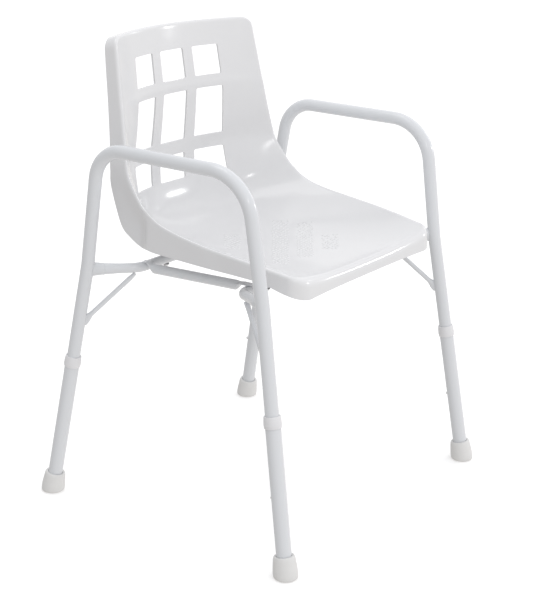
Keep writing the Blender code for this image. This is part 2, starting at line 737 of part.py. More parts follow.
def shell_open_mesh():
    """The shell's outer skin: seat and back, rolled rim and skirt, with the windows left out."""
    surface = ShellSurface()
    half_width = surface.rim[len(STATIONS) // 2].x
    columns = shell_columns(half_width)
    rows = SHELL_ROWS
    last_row, last_column = len(rows) - 1, len(columns) - 1
    stations = [[bent_station(surface, row, share) for share in columns] for row in rows]
    spots = [[surface.point(stations[i][j], columns[j]) for j in range(len(columns))]
             for i in range(len(rows))]

    loop = [(0, j) for j in range(last_column)]
    loop += [(i, last_column) for i in range(last_row)]
    loop += [(last_row, j) for j in range(last_column, 0, -1)]
    loop += [(i, 0) for i in range(last_row, 0, -1)]

    rings = []
    for i, j in loop:
        share = columns[j]
        on_end = i in (0, last_row)
        from_front = i <= last_row // 2
        next_j = min(max(j, 1), last_column - 1)
        next_i = min(max(i, 1), last_row - 1) if on_end else i
        radius = FRONT_CORNER_R if from_front else TOP_CORNER_R
        end_half_width = surface.rim[0 if from_front else -1].x
        turn = math.asin(corner_turn(share, end_half_width, radius)) / (math.pi / 2)
        on_side = turn if on_end else 1.0
        ring = rim_ring(surface, stations[i][j], share, spots[i][j], spots[next_i][next_j],
                        on_side, from_front)
        rings.append(ring)
    for (i, j), ring in zip(loop, rings):
        spots[i][j] = ring[0]

    bm = bmesh.new()
    grid = [[bm.verts.new(spot) for spot in row] for row in spots]
    for i in range(last_row):
        for j in range(last_column):
            if in_window(rows[i], rows[i + 1], columns[j], columns[j + 1]):
                continue
            bm.faces.new((grid[i][j], grid[i][j + 1], grid[i + 1][j + 1], grid[i + 1][j]))
    lines = [[grid[i][j]] + [bm.verts.new(point) for point in ring[1:]]
             for (i, j), ring in zip(loop, rings)]
    for line, after in zip(lines, lines[1:] + lines[:1]):
        for step in range(len(line) - 1):
            bm.faces.new((line[step], line[step + 1], after[step + 1], after[step]))
    return bm


def make_boss(name, middle, tree):
    """A post under the seat that a bolt screws into; its top follows the shell."""
    bottom = middle.z + CROSS_TUBE_R + GAP
    bm = bmesh.new()
    ring_low, ring_high = [], []
    for step in range(BOSS_SIDES):
        turn = 2 * math.pi * step / BOSS_SIDES
        x, y = middle.x + BOSS_R * math.cos(turn), middle.y + BOSS_R * math.sin(turn)
        hit = tree.ray_cast(Vector((x, y, bottom)), Vector((0, 0, 1)))[0]
        ring_low.append(bm.verts.new((x, y, bottom)))
        ring_high.append(bm.verts.new((x, y, hit.z - SHELL_THICKNESS * 0.5)))
    hit = tree.ray_cast(Vector((middle.x, middle.y, bottom)), Vector((0, 0, 1)))[0]
    top = bm.verts.new((middle.x, middle.y, hit.z - SHELL_THICKNESS * 0.5))
    bm.faces.new(ring_low)
    for step in range(BOSS_SIDES):
        after = (step + 1) % BOSS_SIDES
        bm.faces.new((ring_low[step], ring_low[after], ring_high[after], ring_high[step]))
        bm.faces.new((ring_high[step], ring_high[after], top))
    return as_cutter(add_object(name, finish_mesh(bm, name)))


def make_seat_shell(materials):
    bm = shell_open_mesh()
    bmesh.ops.recalc_face_normals(bm, faces=bm.faces)
    seat_face = min(bm.faces, key=lambda face: (face.calc_center_median().xy).length)
    if seat_face.normal.z < 0:
        bmesh.ops.reverse_faces(bm, faces=bm.faces)
    tree = BVHTree.FromBMesh(bm)
    mesh = bpy.data.meshes.new("seat_shell")
    bm.to_mesh(mesh)
    bm.free()
    mesh.shade_smooth()
    shell = add_object("seat_shell", mesh, materials["seat_plastic"])
    wall = shell.modifiers.new("wall", "SOLIDIFY")
    wall.thickness = SHELL_THICKNESS
    wall.offset = -1.0
    for side_name, side in SIDES.items():
        for end_name, end in ENDS.items():
            middle = bolt_point(side, end)
            boss = make_boss(f"boss_{end_name}_{side_name}", middle, tree)
            add_boolean(shell, boss, "UNION")
            low = middle + Vector((0, 0, CROSS_TUBE_R * 0.5))
            high = middle + Vector((0, 0, BOLT_REACH + 0.002))
            name = f"boss_bore_{end_name}_{side_name}"
            add_boolean(shell, round_cutter(name, low, high, BOLT_HOLE_R, 10))
    return shell


def make_seat_bolts(materials):
    """Bolts and washers below the cross tubes, up through them into the shell's bosses."""
    for side_name, side in SIDES.items():
        for end_name, end in ENDS.items():
            middle = bolt_point(side, end)
            under = middle.z - CROSS_TUBE_R - GAP
            washer_low = under - WASHER_THICKNESS
            head_top = washer_low - GAP
            head_low = head_top - BOLT_HEAD_HEIGHT
            profile = [(0.0, middle.z + BOLT_REACH), (BOLT_R, middle.z + BOLT_REACH),
                       (BOLT_R, head_top), (BOLT_HEAD_R, head_top),
                       (BOLT_HEAD_R * 0.8, head_low), (0.0, head_low)]
            name = f"seat_bolt_{end_name}_{side_name}"
            bolt = add_object(name, turned_mesh(name, profile, False, 12),
                              materials["bright_steel"])
            bolt.location = (middle.x, middle.y, 0.0)
            profile = [(WASHER_R, under), (WASHER_R, washer_low),
                       (BOLT_HOLE_R, washer_low), (BOLT_HOLE_R, under)]
            name = f"seat_washer_{end_name}_{side_name}"
            washer = add_object(name, turned_mesh(name, profile, True, 12),
                                materials["bright_steel"])
            washer.location = (middle.x, middle.y, 0.0)


def main():
    start_scene()
    materials = make_materials()
    for end_name, end in ENDS.items():
        make_cross_tube(end_name, end, materials)
    for side_name, side in SIDES.items():
        make_side_frame(f"side_frame_{side_name}", side, materials)
        make_rail(f"seat_rail_{side_name}", side, materials)
        for end_name, end in ENDS.items():
            make_socket(f"socket_{end_name}_{side_name}", side, end, materials)
            make_brace(f"brace_{end_name}_{side_name}", side, end, materials)
    make_legs(materials)
    make_seat_shell(materials)
    make_seat_bolts(materials)


main()
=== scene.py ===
"""Shower chair: the finished look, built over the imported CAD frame.

Metres, +Z up, the sitter faces -Y and the sitter's right side is at -X.
"""

import json
import math
import random

import bmesh
import bpy
from mathutils import Matrix, Vector
from mathutils.bvhtree import BVHTree


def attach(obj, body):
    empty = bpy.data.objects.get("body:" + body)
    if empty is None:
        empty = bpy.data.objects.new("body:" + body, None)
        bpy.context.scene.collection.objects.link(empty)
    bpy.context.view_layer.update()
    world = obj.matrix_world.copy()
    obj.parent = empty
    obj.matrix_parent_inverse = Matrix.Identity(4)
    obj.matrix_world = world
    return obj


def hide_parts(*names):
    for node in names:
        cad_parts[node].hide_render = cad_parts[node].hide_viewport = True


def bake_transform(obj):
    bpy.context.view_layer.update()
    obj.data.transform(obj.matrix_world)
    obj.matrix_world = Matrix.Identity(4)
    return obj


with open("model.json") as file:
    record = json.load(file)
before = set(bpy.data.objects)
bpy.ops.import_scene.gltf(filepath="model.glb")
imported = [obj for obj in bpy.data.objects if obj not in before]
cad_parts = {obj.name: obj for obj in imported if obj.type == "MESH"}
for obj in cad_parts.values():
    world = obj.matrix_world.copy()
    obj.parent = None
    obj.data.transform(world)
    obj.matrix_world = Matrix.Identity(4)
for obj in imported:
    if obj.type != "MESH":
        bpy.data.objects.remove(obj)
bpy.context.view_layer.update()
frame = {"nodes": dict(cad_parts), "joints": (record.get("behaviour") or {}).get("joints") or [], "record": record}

RECORD = frame["record"]
SCENE = bpy.context.scene
SIDES = {"right": -1, "left": 1}
ENDS = {"front": -1, "rear": 1}
LEGS = [(f"{end}_{side}", SIDES[side], ENDS[end]) for end in ENDS for side in SIDES]
FLOOR_POINTS = {m["name"][len("floor_"):]: Vector(m["pos_m"]) for m in RECORD["mounts"]}
AXES = {joint["name"]: Vector(joint["axis"]) for joint in frame["joints"]}
UPS = {leg: AXES[f"height_{leg}"] for leg, _, _ in LEGS}
UPWARDS = Vector((0, 0, 1))

# Side frames and legs
FRAME_TUBE_R = 0.0127
FRAME_TUBE_WALL = 0.0016
ARM_CORNER = Vector((0.304, 0.171, 0.721))
KINK = Vector((0.2995, 0.2075, 0.488))
ARM_BEND_FRONT = 0.09
ARM_BEND_REAR = 0.07
KINK_BEND = 0.09
LEG_TUBE_R = 0.0143
LEG_BORE_R = 0.0131
LEG_BOTTOM = 0.0126
LEG_TOP = 0.2955
FRAME_LEG_END = 0.109
HOLE_PITCH = 0.025
HOLE_COUNT = 7
HOLES_BELOW = 2
BUTTON_HEIGHT = 0.1494
BUTTON_HOLE_R = 0.0036
COLLAR_BOTTOM = 0.2805
COLLAR_TOP = 0.303
COLLAR_R = 0.0162
FOOT_TOP = 0.042
FOOT_FLOOR = 0.01
FOOT_TOP_R = 0.0199
FOOT_MAX_R = 0.0231
FOOT_SHOULDER = 0.012
FOOT_FILLET = 0.004
GROOVE_DEPTH = 0.0012
# Ring grooves in the sole: edge, floor, floor and edge, as shares of the way out
SOLE_GROOVES = [(0.88, 0.85, 0.76, 0.73), (0.62, 0.59, 0.5, 0.47), (0.36, 0.33, 0.22, 0.19)]

# Tubes under the seat
GAP = 0.0003
CROSS_TUBE_R = 0.0095
CROSS_SWELL = 0.0012            # by which a cross tube widens towards its sockets
CROSS_Z = 0.478
JOINT_Z = {-1: 0.494, 1: 0.478}    # where the front and rear tubes meet their legs
CROSS_BEND = 0.04
REAR_ELBOW = Vector((0.228, 0.139, CROSS_Z))
FRONT_ELBOW = Vector((0.228, -0.107, CROSS_Z))
SOCKET_LEG_HALF_HEIGHT = 0.0134
SOCKET_LEG_HALF_WIDTH = 0.008
SOCKET_END_R = 0.0115
SOCKET_LENGTH = 0.02
BEAD_R = 0.001
BEAD_RIPPLES = 22
RAIL_R = 0.0095
TONGUE_HALF_THICKNESS = 0.0016
TONGUE_HALF_WIDTH = 0.01
TONGUE_Z = CROSS_Z + CROSS_TUBE_R + GAP + TONGUE_HALF_THICKNESS
RAIL_REAR = Vector((0.214, 0.112, 0.4775))
RAIL_FRONT = Vector((0.207, -0.078, 0.483))
RAIL_TAPER = 0.016
RAIL_TONGUE = {-1: 0.02, 1: 0.009}   # flat length at the front and rear ends
BRACE_R = 0.0047
BRACE_LEG_HEIGHT = {-1: 0.372, 1: 0.3605}
BRACE_TOP_SHARE = {-1: 0.25, 1: 0.09}
BRACE_TOP_DROP = 0.0115
BOLT_X = 0.15
BOLT_REACH = 0.028
BOLT_HEAD_R = 0.0052
BOLT_HEAD_HEIGHT = 0.0031
HEX_HALF = 0.0017               # of the bolt's hexagon socket, across flats
WASHER_R = 0.0068
WASHER_THICKNESS = 0.0012
BOSS_R = 0.011
ROOT_DEPTH = 0.6                # of the shell's thickness, that bosses reach into it

# Seat shell
SHELL_THICKNESS = 0.0036
SIDE_ROLL = 0.009
FRONT_ROLL = 0.018
TOP_ROLL = 0.008
FRONT_CORNER_R = 0.032
TOP_CORNER_R = 0.022
CORNER_REACH = 0.075
CORNER_BLEND = 1.6              # how soon an end's lip turns into the side's round a corner
STEP_DEPTH = 0.014              # how far each side skirt steps in behind the seat
STEP_START_Y = 0.106
STEP_WIDTH = 0.025
STEP_FADE_Z = 0.57
STEP_FADE_HEIGHT = 0.11
STEP_DROP = 0.75
FRONT_LIP_Z = 0.4872
FRONT_LIP_LEAN = -0.004
TOP_LIP = Vector((0.0, 0.023, -0.006))
WINDOW_CORNER_R = 0.0036
FINE_STEP = 0.0009              # of the shell's grid beside a window
GRID_STEP = 0.0048
STATIONS = [
    ((-0.2330, 0.5150), (0.2320, -0.2410, 0.5310), (0.2340, -0.2410, 0.4940), 3.2),
    ((-0.2030, 0.5090), (0.2350, -0.2050, 0.5355), (0.2380, -0.2100, 0.4985), 3.0),
    ((-0.1600, 0.5055), (0.2400, -0.1580, 0.5430), (0.2440, -0.1620, 0.5115), 2.9),
    ((-0.1000, 0.5030), (0.2445, -0.1070, 0.5500), (0.2490, -0.1090, 0.5160), 2.8),
    ((-0.0350, 0.5020), (0.2470, -0.0450, 0.5575), (0.2515, -0.0480, 0.5180), 2.8),
    ((0.0350, 0.5025), (0.2450, 0.0110, 0.5655), (0.2500, 0.0030, 0.5190), 2.8),
    ((0.1000, 0.5050), (0.2430, 0.0480, 0.5730), (0.2485, 0.0600, 0.5205), 2.8),
    ((0.1520, 0.5100), (0.2430, 0.0710, 0.5800), (0.2480, 0.0950, 0.5225), 2.8),
    ((0.1960, 0.5220), (0.2430, 0.0890, 0.5885), (0.2470, 0.1230, 0.5300), 2.8),
    ((0.2270, 0.5470), (0.2430, 0.1040, 0.5990), (0.2460, 0.1490, 0.5420), 2.8),
    ((0.2440, 0.5910), (0.2425, 0.1190, 0.6110), (0.2445, 0.1750, 0.5640), 2.7),
    ((0.2472, 0.6440), (0.2390, 0.1505, 0.6520), (0.2415, 0.1980, 0.6290), 2.65),
    ((0.2465, 0.6720), (0.2360, 0.1605, 0.6800), (0.2385, 0.2020, 0.6640), 2.6),
    ((0.2420, 0.7220), (0.2305, 0.1700, 0.7245), (0.2330, 0.2070, 0.7150), 2.4),
    ((0.2388, 0.7740), (0.2255, 0.1800, 0.7750), (0.2280, 0.2135, 0.7690), 2.2),
    ((0.2412, 0.7990), (0.2230, 0.1855, 0.7995), (0.2255, 0.2170, 0.7950), 2.2),
    ((0.2503, 0.8590), (0.2170, 0.1970, 0.8595), (0.2200, 0.2260, 0.8560), 2.1),
    ((0.2585, 0.9110), (0.2125, 0.2070, 0.9110), (0.2155, 0.2330, 0.9060), 2.0),
]
WINDOW_ROWS = [(10.0, 11.0), (12.0, 14.0), (15.0, 16.0)]
WINDOW_COLUMNS = [(-0.59, -0.282), (-0.162, 0.162), (0.282, 0.59)]

# Studio
ABOVE = (1.1, 1.1, 1.11)
BELOW = (0.92, 0.9, 0.88)
DARK_SIDE = (-0.68, 0.73, 0.0)
DARK_SIDE_SHARE = 0.54
SOFT_BOXES = [                  # name, direction from the seat, size, power
    ("overhead", (-0.12, 0.2, 0.96), 1.5, 11.0),
    ("far_front", (0.78, -0.57, 0.27), 0.24, 5.0),
    ("near_front", (-0.48, -0.73, 0.49), 0.2, 3.0),
    ("far_side", (0.95, -0.1, 0.28), 0.5, 1.5),
]
SOFT_BOX_DISTANCE = 3.0
SEAT_CENTRE = Vector((0.0, 0.0, 0.5))
FLOOR_DROP = 0.0005             # the floor lies this far under the feet
CAMERA_PLACE = (-2.2269, -1.6067, 1.3022)
CAMERA_TURNS = (-54.17, 18.59, 1.17)  # azimuth, elevation and roll in degrees
CAMERA_LENS = 85.71

# The V spring behind each snap button, from the button's axis: (outwards, up the leg)
SPRING_PATH = [(0.0072, -0.0080), (0.0072, 0.0050), (0.0030, 0.0330), (-0.0004, 0.0460),
               (-0.0044, 0.033), (-0.0096, -0.01)]
SPRING_BENDS = [0.012, 0.02, 0.0018, 0.03]
SPRING_HALF_WIDTH = 0.003
SPRING_HALF_THICKNESS = 0.0004
SPRING_STEP = 0.002
SPRING_STILL_X = -0.0015        # start of the stretch along the button's axis given with the spring
SPRING_MOVING_X = 0.0068        # end of that stretch

# Grip pips on the seat, in slanting bands: (x, y) of each band's two ends
PIP_BANDS = [((-0.0055, 0.0842), (-0.0875, 0.0207)), ((0.1190, 0.0540), (-0.1165, -0.1155)),
             ((0.1370, 0.0030), (-0.0318, -0.1137)), ((0.1120, -0.0754), (0.0375, -0.1250))]
PIP_BAND_HALF_WIDTH = 0.0155
PIP_PITCH = 0.0094
PIP_R = 0.0034
PIP_HEIGHT = 0.0009
PIP_SCATTER = 0.2               # of the pitch, each way
HEX_ROW = 0.866                 # row spacing of a hexagonal pattern, as a share of its pitch


# ---- materials

class Nodes:
    """A node tree, with short calls for the nodes that are needed here."""

    def __init__(self, tree, coords):
        self.tree = tree
        self.coords = tree.nodes.new("ShaderNodeTexCoord").outputs[coords]

    def fill(self, sockets, values):
        """Gives each socket its value, or a link when the value is another socket."""
        for key, value in values.items():
            if isinstance(value, bpy.types.NodeSocket):
                self.tree.links.new(value, sockets[key])
            else:
                sockets[key].default_value = value

    def node(self, kind, output, inputs, **settings):
        node = self.tree.nodes.new(f"ShaderNode{kind}")
        for key, value in settings.items():
            setattr(node, key, value)
        self.fill(node.inputs, inputs)
        return node.outputs[output]

    def noise(self, scale, detail=3.0, roughness=0.5, vector=None):
        return self.node("TexNoise", "Fac", {"Scale": scale, "Detail": detail,
                                             "Roughness": roughness,
                                             "Vector": vector or self.coords})

    def ramp(self, source, *stops):
        """A ramp between (place, colour) stops; a colour is three channels."""
        node = self.tree.nodes.new("ShaderNodeValToRGB")
        for element, (place, colour) in zip(node.color_ramp.elements, stops):
            element.position = place
            element.color = (*colour, 1.0)
        self.fill(node.inputs, {"Fac": source})
        return node.outputs["Color"]

    def mix(self, factor, first, second):
        return self.node("Mix", 2, {0: factor, 6: first, 7: second}, data_type="RGBA")

    def between(self, source, low, high, out_low, out_high, kind="LINEAR"):
        return self.node("MapRange", "Result",
                         {"Value": source, "From Min": low, "From Max": high,
                          "To Min": out_low, "To Max": out_high}, interpolation_type=kind)

    def bump(self, height, strength, distance, onto=None):
        under = {"Normal": onto} if onto else {}
        return self.node("Bump", "Normal", {"Strength": strength, "Distance": distance,
                                            "Height": height, **under})


class Finish(Nodes):
    """A material and its nodes."""

    def __init__(self, name):
        self.material = bpy.data.materials.new(name)
        self.material.use_nodes = True
        super().__init__(self.material.node_tree, "Object")

    def set(self, **values):
        """Sets or links the shader's inputs by name, and returns the material."""
        shader = self.tree.nodes["Principled BSDF"]
        self.fill(shader.inputs, {key.replace("_", " "): values[key] for key in values})
        return self.material


def seat_plastic():
    """Glossy moulded polypropylene: faint flow marks and a fine grain."""
    m = Finish("moulded_seat_plastic")
    flow = m.ramp(m.noise(5.0, 4.0, 0.6), (0.3, (0.688, 0.69, 0.702)),
                  (0.7, (0.706, 0.708, 0.719)))
    specks = m.between(m.noise(420.0, 2.0), 0.24, 0.33, 0.06, 0.0)
    grain = m.bump(m.noise(900.0, 2.0), 0.06, 0.0002)
    return m.set(IOR=1.49, Coat_Weight=0.1, Coat_Roughness=0.08,
                 Base_Color=m.mix(specks, flow, (0.55, 0.55, 0.55, 1.0)),
                 Roughness=m.between(m.noise(30.0, 6.0, 0.7), 0.35, 0.7, 0.11, 0.18),
                 Normal=m.bump(m.noise(14.0, 2.0), 0.04, 0.002, grain))


def white_paint():
    """Powder coat: a fine orange peel and a hardly visible change of tone."""
    m = Finish("powder_coat")
    peel = m.bump(m.noise(420.0, 2.0, 0.4), 0.1, 0.0002)
    return m.set(IOR=1.5, Coat_Weight=0.15, Coat_Roughness=0.12,
                 Base_Color=m.ramp(m.noise(4.0, 2.0), (0.3, (0.66, 0.676, 0.7)),
                                   (0.7, (0.672, 0.688, 0.712))),
                 Roughness=m.between(m.noise(60.0, 4.0), 0.3, 0.7, 0.14, 0.19),
                 Normal=m.bump(m.noise(1500.0, 1.0), 0.05, 0.0001, peel))


def collar_plastic():
    m = Finish("collar_plastic")
    return m.set(IOR=1.49,
                 Base_Color=m.ramp(m.noise(45.0, 3.0), (0.3, (0.705, 0.705, 0.72)),
                                   (0.7, (0.725, 0.725, 0.74))),
                 Roughness=m.between(m.noise(150.0, 3.0), 0.3, 0.7, 0.34, 0.48),
                 Normal=m.bump(m.noise(1300.0, 2.0), 0.15, 0.0001))


def foot_rubber():
    """Matt rubber, with painted shade in patches towards the floor."""
    m = Finish("foot_rubber")
    rubber_tone = m.ramp(m.noise(60.0, 4.0, 0.6), (0.3, (0.68, 0.678, 0.672)),
                   (0.7, (0.704, 0.702, 0.696)))
    height = m.node("SeparateXYZ", "Z", {"Vector": m.coords})
    # Painted shade: darker in patches over the lowest centimetre of the foot, towards the floor
    low = m.between(height, 0.0, 0.01, 0.22, 0.0)
    patches = m.ramp(m.noise(240.0, 4.0, 0.7), (0.4, (0.0,) * 3), (0.62, (1.0,) * 3))
    painted_floor_shade = m.node("Math", 0, {0: low, 1: patches}, operation="MULTIPLY")
    # the dark brownish grey is the colour of the painted shade
    return m.set(IOR=1.5, Base_Color=m.mix(painted_floor_shade, rubber_tone, (0.42, 0.4, 0.37, 1.0)),
                 Roughness=m.between(m.noise(200.0, 3.0), 0.3, 0.7, 0.52, 0.68),
                 Normal=m.bump(m.noise(1100.0, 3.0, 0.6), 0.3, 0.00015))


def steel(name, tint, roughness):
    """Plain steel with fine turning marks round its axis."""
    m = Finish(name)
    stretched = m.node("Mapping", "Vector", {"Vector": m.coords,
                                             "Scale": (180.0, 180.0, 2600.0)})
    marks = m.noise(1.0, 4.0, 0.6, stretched)
    darker = tuple(channel * 0.82 for channel in tint)
    return m.set(Metallic=1.0, Base_Color=m.ramp(marks, (0.3, darker), (0.7, tint)),
                 Roughness=m.between(m.noise(120.0, 4.0), 0.3, 0.7, roughness - 0.05,
                                     roughness + 0.08),
                 Normal=m.bump(marks, 0.1, 0.0001))


MATERIALS = {
    "seat_plastic": seat_plastic(),
    "white_paint": white_paint(),
    "collar_plastic": collar_plastic(),
    "foot_rubber": foot_rubber(),
    "bright_steel": steel("bright_steel", (0.66, 0.66, 0.67), 0.28),
    "spring_steel": steel("spring_steel", (0.43, 0.44, 0.47), 0.33),
}


# ---- mesh helpers

def rounded_path(corners, radii, steps):
    """The points of a path through corners, each inner corner rounded to its radius."""
    corners = [Vector(corner) for corner in corners]
    path = corners[:1]
    for before, corner, after, radius in zip(corners, corners[1:], corners[2:], radii):
        back, ahead = (before - corner).normalized(), (after - corner).normalized()
        half = back.angle(ahead) / 2
        centre = corner + (back + ahead).normalized() * radius / math.sin(half)
        first = corner + back * radius / math.tan(half) - centre
        last = corner + ahead * radius / math.tan(half) - centre
        for step in range(steps + 1):
            path.append(centre + first.slerp(last, step / steps).normalized() * radius)
    return path + corners[-1:]


def axis_matrix(origin, along, towards):
    z, towards = along.normalized(), Vector(towards)
    x = (towards - z * towards.dot(z)).normalized()
    matrix = Matrix((x, z.cross(x), z)).transposed().to_4x4()
    matrix.translation = origin
    return matrix


def linked(name, data):
    thing = bpy.data.objects.new(name, data)
    SCENE.collection.objects.link(thing)
    return thing


def new_object(name, bm):
    mesh = bpy.data.meshes.new(name)
    bm.to_mesh(mesh)
    bm.free()
    return linked(name, mesh)


def add_piece(name, bm, slot, body, replaces=(), matrix=None, sharp=35, bend=None):
    """A finished mesh as a piece that rides on a CAD body, or, given a bend, stays where it is in world space."""
    bmesh.ops.recalc_face_normals(bm, faces=bm.faces)
    piece = new_object(name, bm)
    piece.data.shade_smooth()
    if sharp:
        piece.data.set_sharp_from_angle(angle=math.radians(sharp))
    piece.data.materials.append(MATERIALS[slot])
    if matrix:
        piece.matrix_world = matrix
    if bend:
        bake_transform(piece)
    else:
        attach(piece, body)
    if replaces:
        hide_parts(*replaces)
    return piece


def cut(piece, bm):
    """Cuts solids in world space out of a piece for good."""
    bmesh.ops.recalc_face_normals(bm, faces=bm.faces)
    cutter = new_object("cutter", bm)
    modifier = piece.modifiers.new("cut", "BOOLEAN")
    modifier.solver = "EXACT"
    modifier.object = cutter
    bpy.context.view_layer.update()
    graph = bpy.context.evaluated_depsgraph_get()
    made = bpy.data.meshes.new_from_object(piece.evaluated_get(graph))
    piece.modifiers.remove(modifier)
    bpy.data.objects.remove(cutter)
    piece.data = made
    made.shade_smooth()
    made.set_sharp_from_angle(angle=math.radians(30))


def turns(count):
    return [2 * math.pi * step / count for step in range(count)]


def round_point(radius, turn, height=0.0):
    return Vector((radius * math.cos(turn), radius * math.sin(turn), height))


def skinned(rings, ends="capped", bm=None):
    """A mesh from each ring of points to the next; its ends are capped, joined or open."""
    bm = bmesh.new() if bm is None else bm
    rings = [[bm.verts.new(point) for point in ring] for ring in rings]
    for low, high in zip(rings, rings[1:] + (rings[:1] if ends == "joined" else [])):
        count = max(len(low), len(high))
        for step in range(count):
            after = (step + 1) % count
            corners = [low[step % len(low)], low[after % len(low)],
                       high[after % len(high)], high[step % len(high)]]
            bm.faces.new(list(dict.fromkeys(corners)))
    if ends == "capped":
        for ring in (rings[0], rings[-1]):
            if len(ring) > 2:
                bm.faces.new(ring)
    return bm


def path_frames(path):
    """A frame at each point of a path, carried along it without twisting."""
    tangents = [(after - before).normalized()
                for before, after in zip(path[:1] + path, path[1:] + path[-1:])]
    up = UPWARDS if abs(tangents[0].z) < 0.9 else Vector((1, 0, 0))
    across = tangents[0].cross(up).normalized()
    frames = []
    for index, tangent in enumerate(tangents):
        if index:
            across = tangents[index - 1].rotation_difference(tangent) @ across
        across = (across - tangent * across.dot(tangent)).normalized()
        frames.append((tangent, across, across.cross(tangent)))
    return frames


def elliptical_rings(rows, sides, steady=None):
    """Rings along a path of (point, half width, half height) rows."""
    frames = [steady] * len(rows) if steady else path_frames([row[0] for row in rows])
    return [[point + (across * wide * math.cos(turn) + upward * high * math.sin(turn))
             for turn in turns(sides)]
            for (point, wide, high), (_, across, upward) in zip(rows, frames)]


def round_rings(profile, steps):
    """Rings about local Z from (radius, height) points; a radius of 0 gives a single point."""
    return [[round_point(radius, turn, height) for turn in turns(steps if radius else 1)]
            for radius, height in profile]


def rounded(start, corner, stop, share):
    """A point of the curve that rounds a corner."""
    return start * (1 - share) ** 2 + corner * 2 * share * (1 - share) + stop * share ** 2


def fillet_profile(points, radii):
    """Rounds the inner corners of a (radius, height) profile; radius 0 leaves a corner."""
    made = [points[0]]
    for before, corner, after, radius in zip(points, points[1:], points[2:], radii):
        if radius <= 0:
            made.append(corner)
            continue
        b, c, a = Vector(before), Vector(corner), Vector(after)
        reach = min(radius, (b - c).length * 0.49, (a - c).length * 0.49)
        start, stop = c + (b - c).normalized() * reach, c + (a - c).normalized() * reach
        made += [tuple(rounded(start, c, stop, step / 4)) for step in range(5)]
    return made + [points[-1]]


def smooth(share):
    share = min(max(share, 0.0), 1.0)
    return share * share * (3 - 2 * share)


# ---- places on the frame

def mirrored(point, side, end):
    return Vector((point.x * side, point.y * end, point.z))


def leg_matrix(leg):
    """A leg's own frame: origin on the floor, +Z up the leg, +X where its button points."""
    return axis_matrix(FLOOR_POINTS[leg], UPS[leg], -AXES[f"press_{leg}"])


def button_matrix(leg):
    return leg_matrix(leg) @ Matrix.Translation((0, 0, BUTTON_HEIGHT))


def leg_point(leg, height):
    up = UPS[leg]
    return FLOOR_POINTS[leg] + up * (height / up.z)


def elbow_of(side, end):
    return mirrored(REAR_ELBOW if end > 0 else FRONT_ELBOW, side, 1)


def bolt_point(side, end):
    """Where a seat bolt crosses the axis of its cross tube."""
    return Vector((BOLT_X * side, elbow_of(side, end).y, CROSS_Z))


def socket_line(leg, side, end):
    start = leg_point(leg, JOINT_Z[end])
    return start, (elbow_of(side, end) - start).normalized()


def add_hole_rod(bm, leg, tube_radius, height):
    """A rod through the wall of a leg's tube on its button's side."""
    place = leg_matrix(leg)
    start, end = (place @ Vector((tube_radius * reach, 0, height)) for reach in (0.5, 1.5))
    bmesh.ops.create_cone(bm, cap_ends=True, segments=24, radius1=BUTTON_HOLE_R,
                          radius2=BUTTON_HOLE_R, depth=(end - start).length,
                          matrix=axis_matrix((start + end) / 2, end - start, (0.3, 0.2, 0.9)))


# ---- side frames

def make_side_frame(side_name, side):
    legs = {1: f"rear_{side_name}", -1: f"front_{side_name}"}
    rear, front = ([leg_matrix(legs[end]) @ Vector((0, 0, FRAME_LEG_END)),
                    mirrored(KINK, side, end), mirrored(ARM_CORNER, side, end)]
                   for end in legs)
    path = rounded_path(rear + front[::-1],
                        [KINK_BEND, ARM_BEND_REAR, ARM_BEND_FRONT, KINK_BEND], 22)
    outer, inner = (elliptical_rings([(point, radius, radius) for point in path], 40)
                    for radius in (FRAME_TUBE_R, FRAME_TUBE_R - FRAME_TUBE_WALL))
    bm = skinned(outer + inner[::-1], "joined")
    name = f"side_frame_{side_name}"
    piece = add_piece(f"{name}_tube", bm, "white_paint", "frame", [name])
    rods = bmesh.new()
    for leg in legs.values():
        add_hole_rod(rods, leg, FRAME_TUBE_R, BUTTON_HEIGHT)
    cut(piece, rods)


# ---- telescopic legs

def make_leg_extension(leg):
    edge = 0.0004
    profile = [(LEG_TUBE_R, LEG_TOP - edge), (LEG_TUBE_R, LEG_BOTTOM + edge),
               (LEG_TUBE_R - edge, LEG_BOTTOM), (LEG_BORE_R, LEG_BOTTOM),
               (LEG_BORE_R, LEG_TOP), (LEG_TUBE_R - edge, LEG_TOP)]
    bm = skinned(round_rings(profile, 48), "joined")
    bm.transform(Matrix.Rotation(math.pi / 48, 4, "Z"))
    piece = add_piece(f"lower_leg_{leg}", bm, "white_paint", f"leg_{leg}",
                      [f"leg_extension_{leg}"], leg_matrix(leg))
    rods = bmesh.new()
    for hole in range(HOLE_COUNT):
        add_hole_rod(rods, leg, LEG_TUBE_R, BUTTON_HEIGHT + (hole - HOLES_BELOW) * HOLE_PITCH)
    cut(piece, rods)


def make_collar(leg):
    """A guide collar: a lower skirt on the leg, a slimmer neck on the frame tube."""
    skirt_bore = LEG_TUBE_R + GAP
    neck_bore = FRAME_TUBE_R + GAP
    web = LEG_TOP + GAP
    profile = [
        (neck_bore, COLLAR_TOP), (COLLAR_R - 0.0009, COLLAR_TOP),
        (COLLAR_R - 0.0002, COLLAR_TOP - 0.0075), (COLLAR_R, COLLAR_TOP - 0.0085),
        (COLLAR_R + 0.0004, COLLAR_BOTTOM + 0.005), (COLLAR_R - 0.0001, COLLAR_BOTTOM + 0.004),
        (COLLAR_R - 0.0003, COLLAR_BOTTOM), (skirt_bore, COLLAR_BOTTOM),
        (skirt_bore, web), (neck_bore, web), (neck_bore, COLLAR_TOP),
    ]
    radii = [0.0011, 0.0006, 0.0006, 0.0008, 0.0005, 0.0006, 0.0003, 0, 0]
    profile = fillet_profile(profile, radii)[:-1]
    add_piece(f"guide_collar_{leg}", skinned(round_rings(profile, 56), "joined"),
              "collar_plastic", f"leg_{leg}", [f"collar_{leg}"], leg_matrix(leg))


